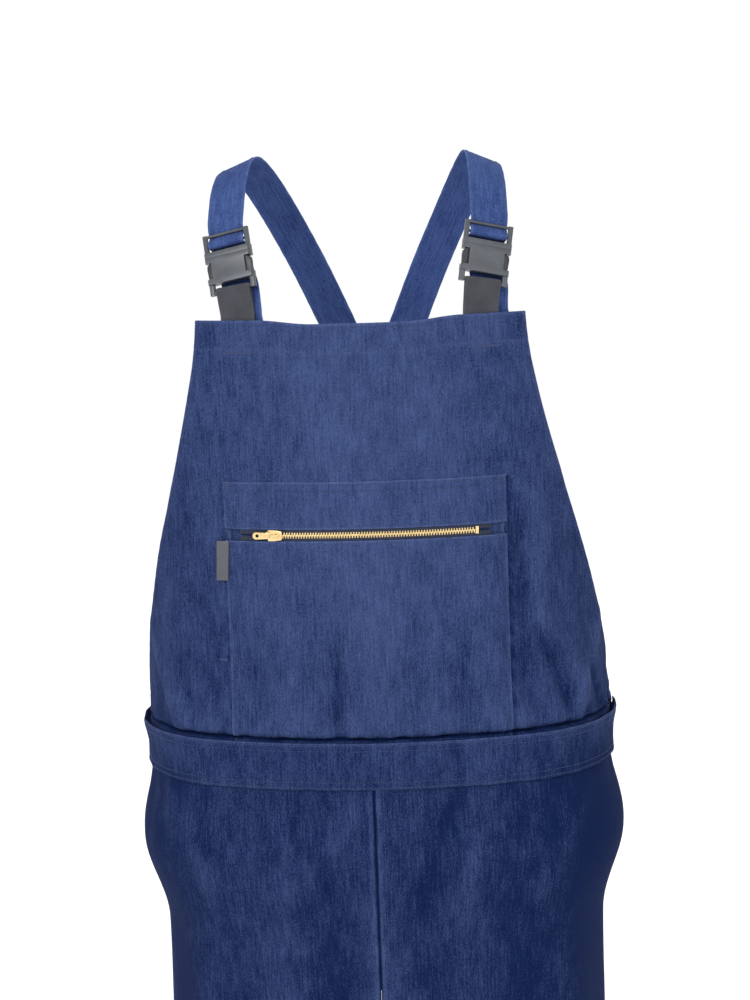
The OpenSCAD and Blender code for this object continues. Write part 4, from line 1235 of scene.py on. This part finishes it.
# %% Rows on the waistband, the legs and the straps
s = line(-FRONT_END + 3, FRONT_END - 3)
rows = [on_cloth(s, z, BAND + GAP + band_flare(s, z, FRONT_FLARE))
        for z in (-2, -7, 7 - BAND_H, 2 - BAND_H)]
for v in BACK_ROWS:
    s, z = round_back(line(FRONT_END - 4, 2 * HALF_ROUND - FRONT_END + 4), -BAND_H, v)
    rows.append(on_cloth(s, z, BACK_BAND + gather_back(s, v) - folds(s, z)))
stitches("waistband_topstitching", rows)


def leg_row(g, a, z):
    """A row on the leg panel's outside, at distance a from the centre seam."""
    a, z = np.broadcast_arrays(np.asarray(a, float), np.asarray(z, float))
    u = a / PANEL_W
    d = CLOTH / 2 - SUNK + leg_lift(g, a, g * u * reach(PANEL_TURN, z), z, True)
    low, high = leg_point(g, u, z, d), leg_point(g, u, z, d + 1)
    return row_at(low, unit(high - low))


rows = [leg_row(1, a, line(-SEAM_H - 8, -BAND_H - 2)) for a in (LAP_ROW, 2.4)]
for g in (-1, 1):
    rows.append(leg_row(g, 346, line(4 - SKIRT_H, -BAND_H - 2)))
    rows.append(leg_row(g, line(3, 347), HEM_H - 2 - SKIRT_H))
    rows.append(leg_row(g, 4, line(4 - SKIRT_H, -SEAM_H - 12)))
stitches("leg_topstitching", rows)

for g, side in ((-1, "left"), (1, "right")):
    points, facing, run = strap_lines[side]
    _, across, up = frames_of(points, facing)
    keep, mirror, rows = slice(2, -2), [g, 1, 1], []
    for edge in (-1, 1):
        spots = points + across * edge * (STRAP_W / 2 - 3.4) + up * (STRAP_T / 2 - 0.05)
        rows.append(row_at(spots[keep] * mirror, facing[keep] * mirror))
    stitches(f"strap_topstitching_{side}", rows,
             blend=("garment", f"clip_{side}", (0, -0.012, 0), (0, -0.066, 0)))

# %% [markdown]
# ## Bar tacks
# A bar tack is a dense block of satin stitch where a seam takes strain. Here each
# is a row of threads laid side by side across its width.

# %% The bar tacks
def tack(s, z, d, wide, high):
    """Upright threads about 0.5 mm apart across a width, as one row of stitches."""
    across_s = s + np.linspace(-wide / 2, wide / 2, int(wide / 0.5))
    z = z + 0 * across_s
    base = d + CLOTH / 2 + SUNK + folds(across_s, z)
    low = on_form(across_s, z, base)
    out = unit(on_form(across_s, z, base + 1) - low)
    sway = 0.14 * (np.arange(len(z)) % 2)[:, None]
    up = unit(np.array([0, 0, 1.0]) + np.cross(out, [0, 0, 1.0]) * sway)
    return low, up * high / STITCH, np.cross(up, out), out


# Height of the tacks that hold the webbing, and the lift of the tacks by the zip
WEB_TACK_Z, ZIP_TACK_D = BIB_H - 28, 3.2
rows = [tack(g * (half - 4), POCKET_TOP - 2, POCKET, 7, 2.4) for g in (-1, 1)]
rows += [tack(g * float(reach_x(WEB_X, WEB_TACK_Z)), WEB_TACK_Z, 0.9, WEBBING_W - 4, 2.2)
         for g in (-1, 1)]
rows.append(tack(-half - 8, 75, 0, 8, 2.6))
rows += [tack(g * (half - 5), ZIP_H, ZIP_TACK_D, 2.5, 9) for g in (-1, 1)]
tacks = stitches("bar_tack_threads", rows)
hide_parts("bar_tacks")

# %% [markdown]
# ## Hardware
# The buckles and the zip are already the right shape, but CAD edges are perfectly
# sharp, and a sharp edge never catches the light as a moulded or cast one does.
# So each is copied, its triangles are merged into flats, and a fine bevel is added.

# %% Softened copies of the frame's hard pieces
FLAT_ANGLE, EDGE_ANGLE = math.radians(2.0), math.radians(24.0)


def softened(name, node, width, material, body, segments=2):
    """A copy of a CAD node with rounded edges, which stands for it."""
    mesh = frame["nodes"][node].data.copy()
    work = bmesh.new()
    work.from_mesh(mesh)
    bmesh.ops.remove_doubles(work, verts=work.verts, dist=2e-6)
    bmesh.ops.dissolve_limit(work, angle_limit=FLAT_ANGLE, verts=work.verts, edges=work.edges)
    work.to_mesh(mesh)
    work.free()
    piece = shown(name, mesh)
    bevel = piece.modifiers.new("edges", "BEVEL")
    bevel.width, bevel.segments = width / 1000, segments
    bevel.limit_method, bevel.angle_limit = "ANGLE", EDGE_ANGLE
    bevel.harden_normals = True
    bevel.use_clamp_overlap = True
    return finish(piece, material, body, (node,))


for side in ("left", "right"):
    softened(f"buckle_socket_moulding_{side}", f"buckle_socket_{side}", 0.5, PLASTIC,
             "garment", 3)
    softened(f"buckle_clip_moulding_{side}", f"buckle_clip_{side}", 0.4, PLASTIC,
             f"clip_{side}", 3)
    for arm in (f"{side}_outer", f"{side}_inner"):
        softened(f"release_arm_moulding_{arm}", f"release_arm_{arm}", 0.35, PLASTIC_ARM,
                 f"arm_{arm}")
softened("slider_casting", "zip_slider", 0.16, BRASS, "zip_slider")
softened("pull_tab_casting", "zip_pull_tab", 0.2, BRASS, "zip_pull")
for node in ("zip_teeth_upper", "zip_teeth_lower", "zip_top_stops", "zip_bottom_stop"):
    softened(f"{node}_stamped", node, 0.14, BRASS, "garment", 1)

# %% Woven zip tapes
for g, row_name in ((1, "upper"), (-1, "lower")):
    end = POCKET_W / 2 - 15
    s, e = np.meshgrid(line(-end, end, 2.0), np.array([0, 0.25, 0.7, 1.2, 1.9, 3, 6, 10, 13.8]))
    spots = on_form(s, ZIP_H + g * (1.2 + e), TAPE_BACK + 0.3)
    tape = new_piece(f"zip_tape_woven_{row_name}", spots, faces_of(*s.shape),
                     np.stack([s, e], -1) / 1000, 0.1 + 0 * s)
    finish(thicken(tape, 0.6), TAPE, replaces=(f"zip_tape_{row_name}",))
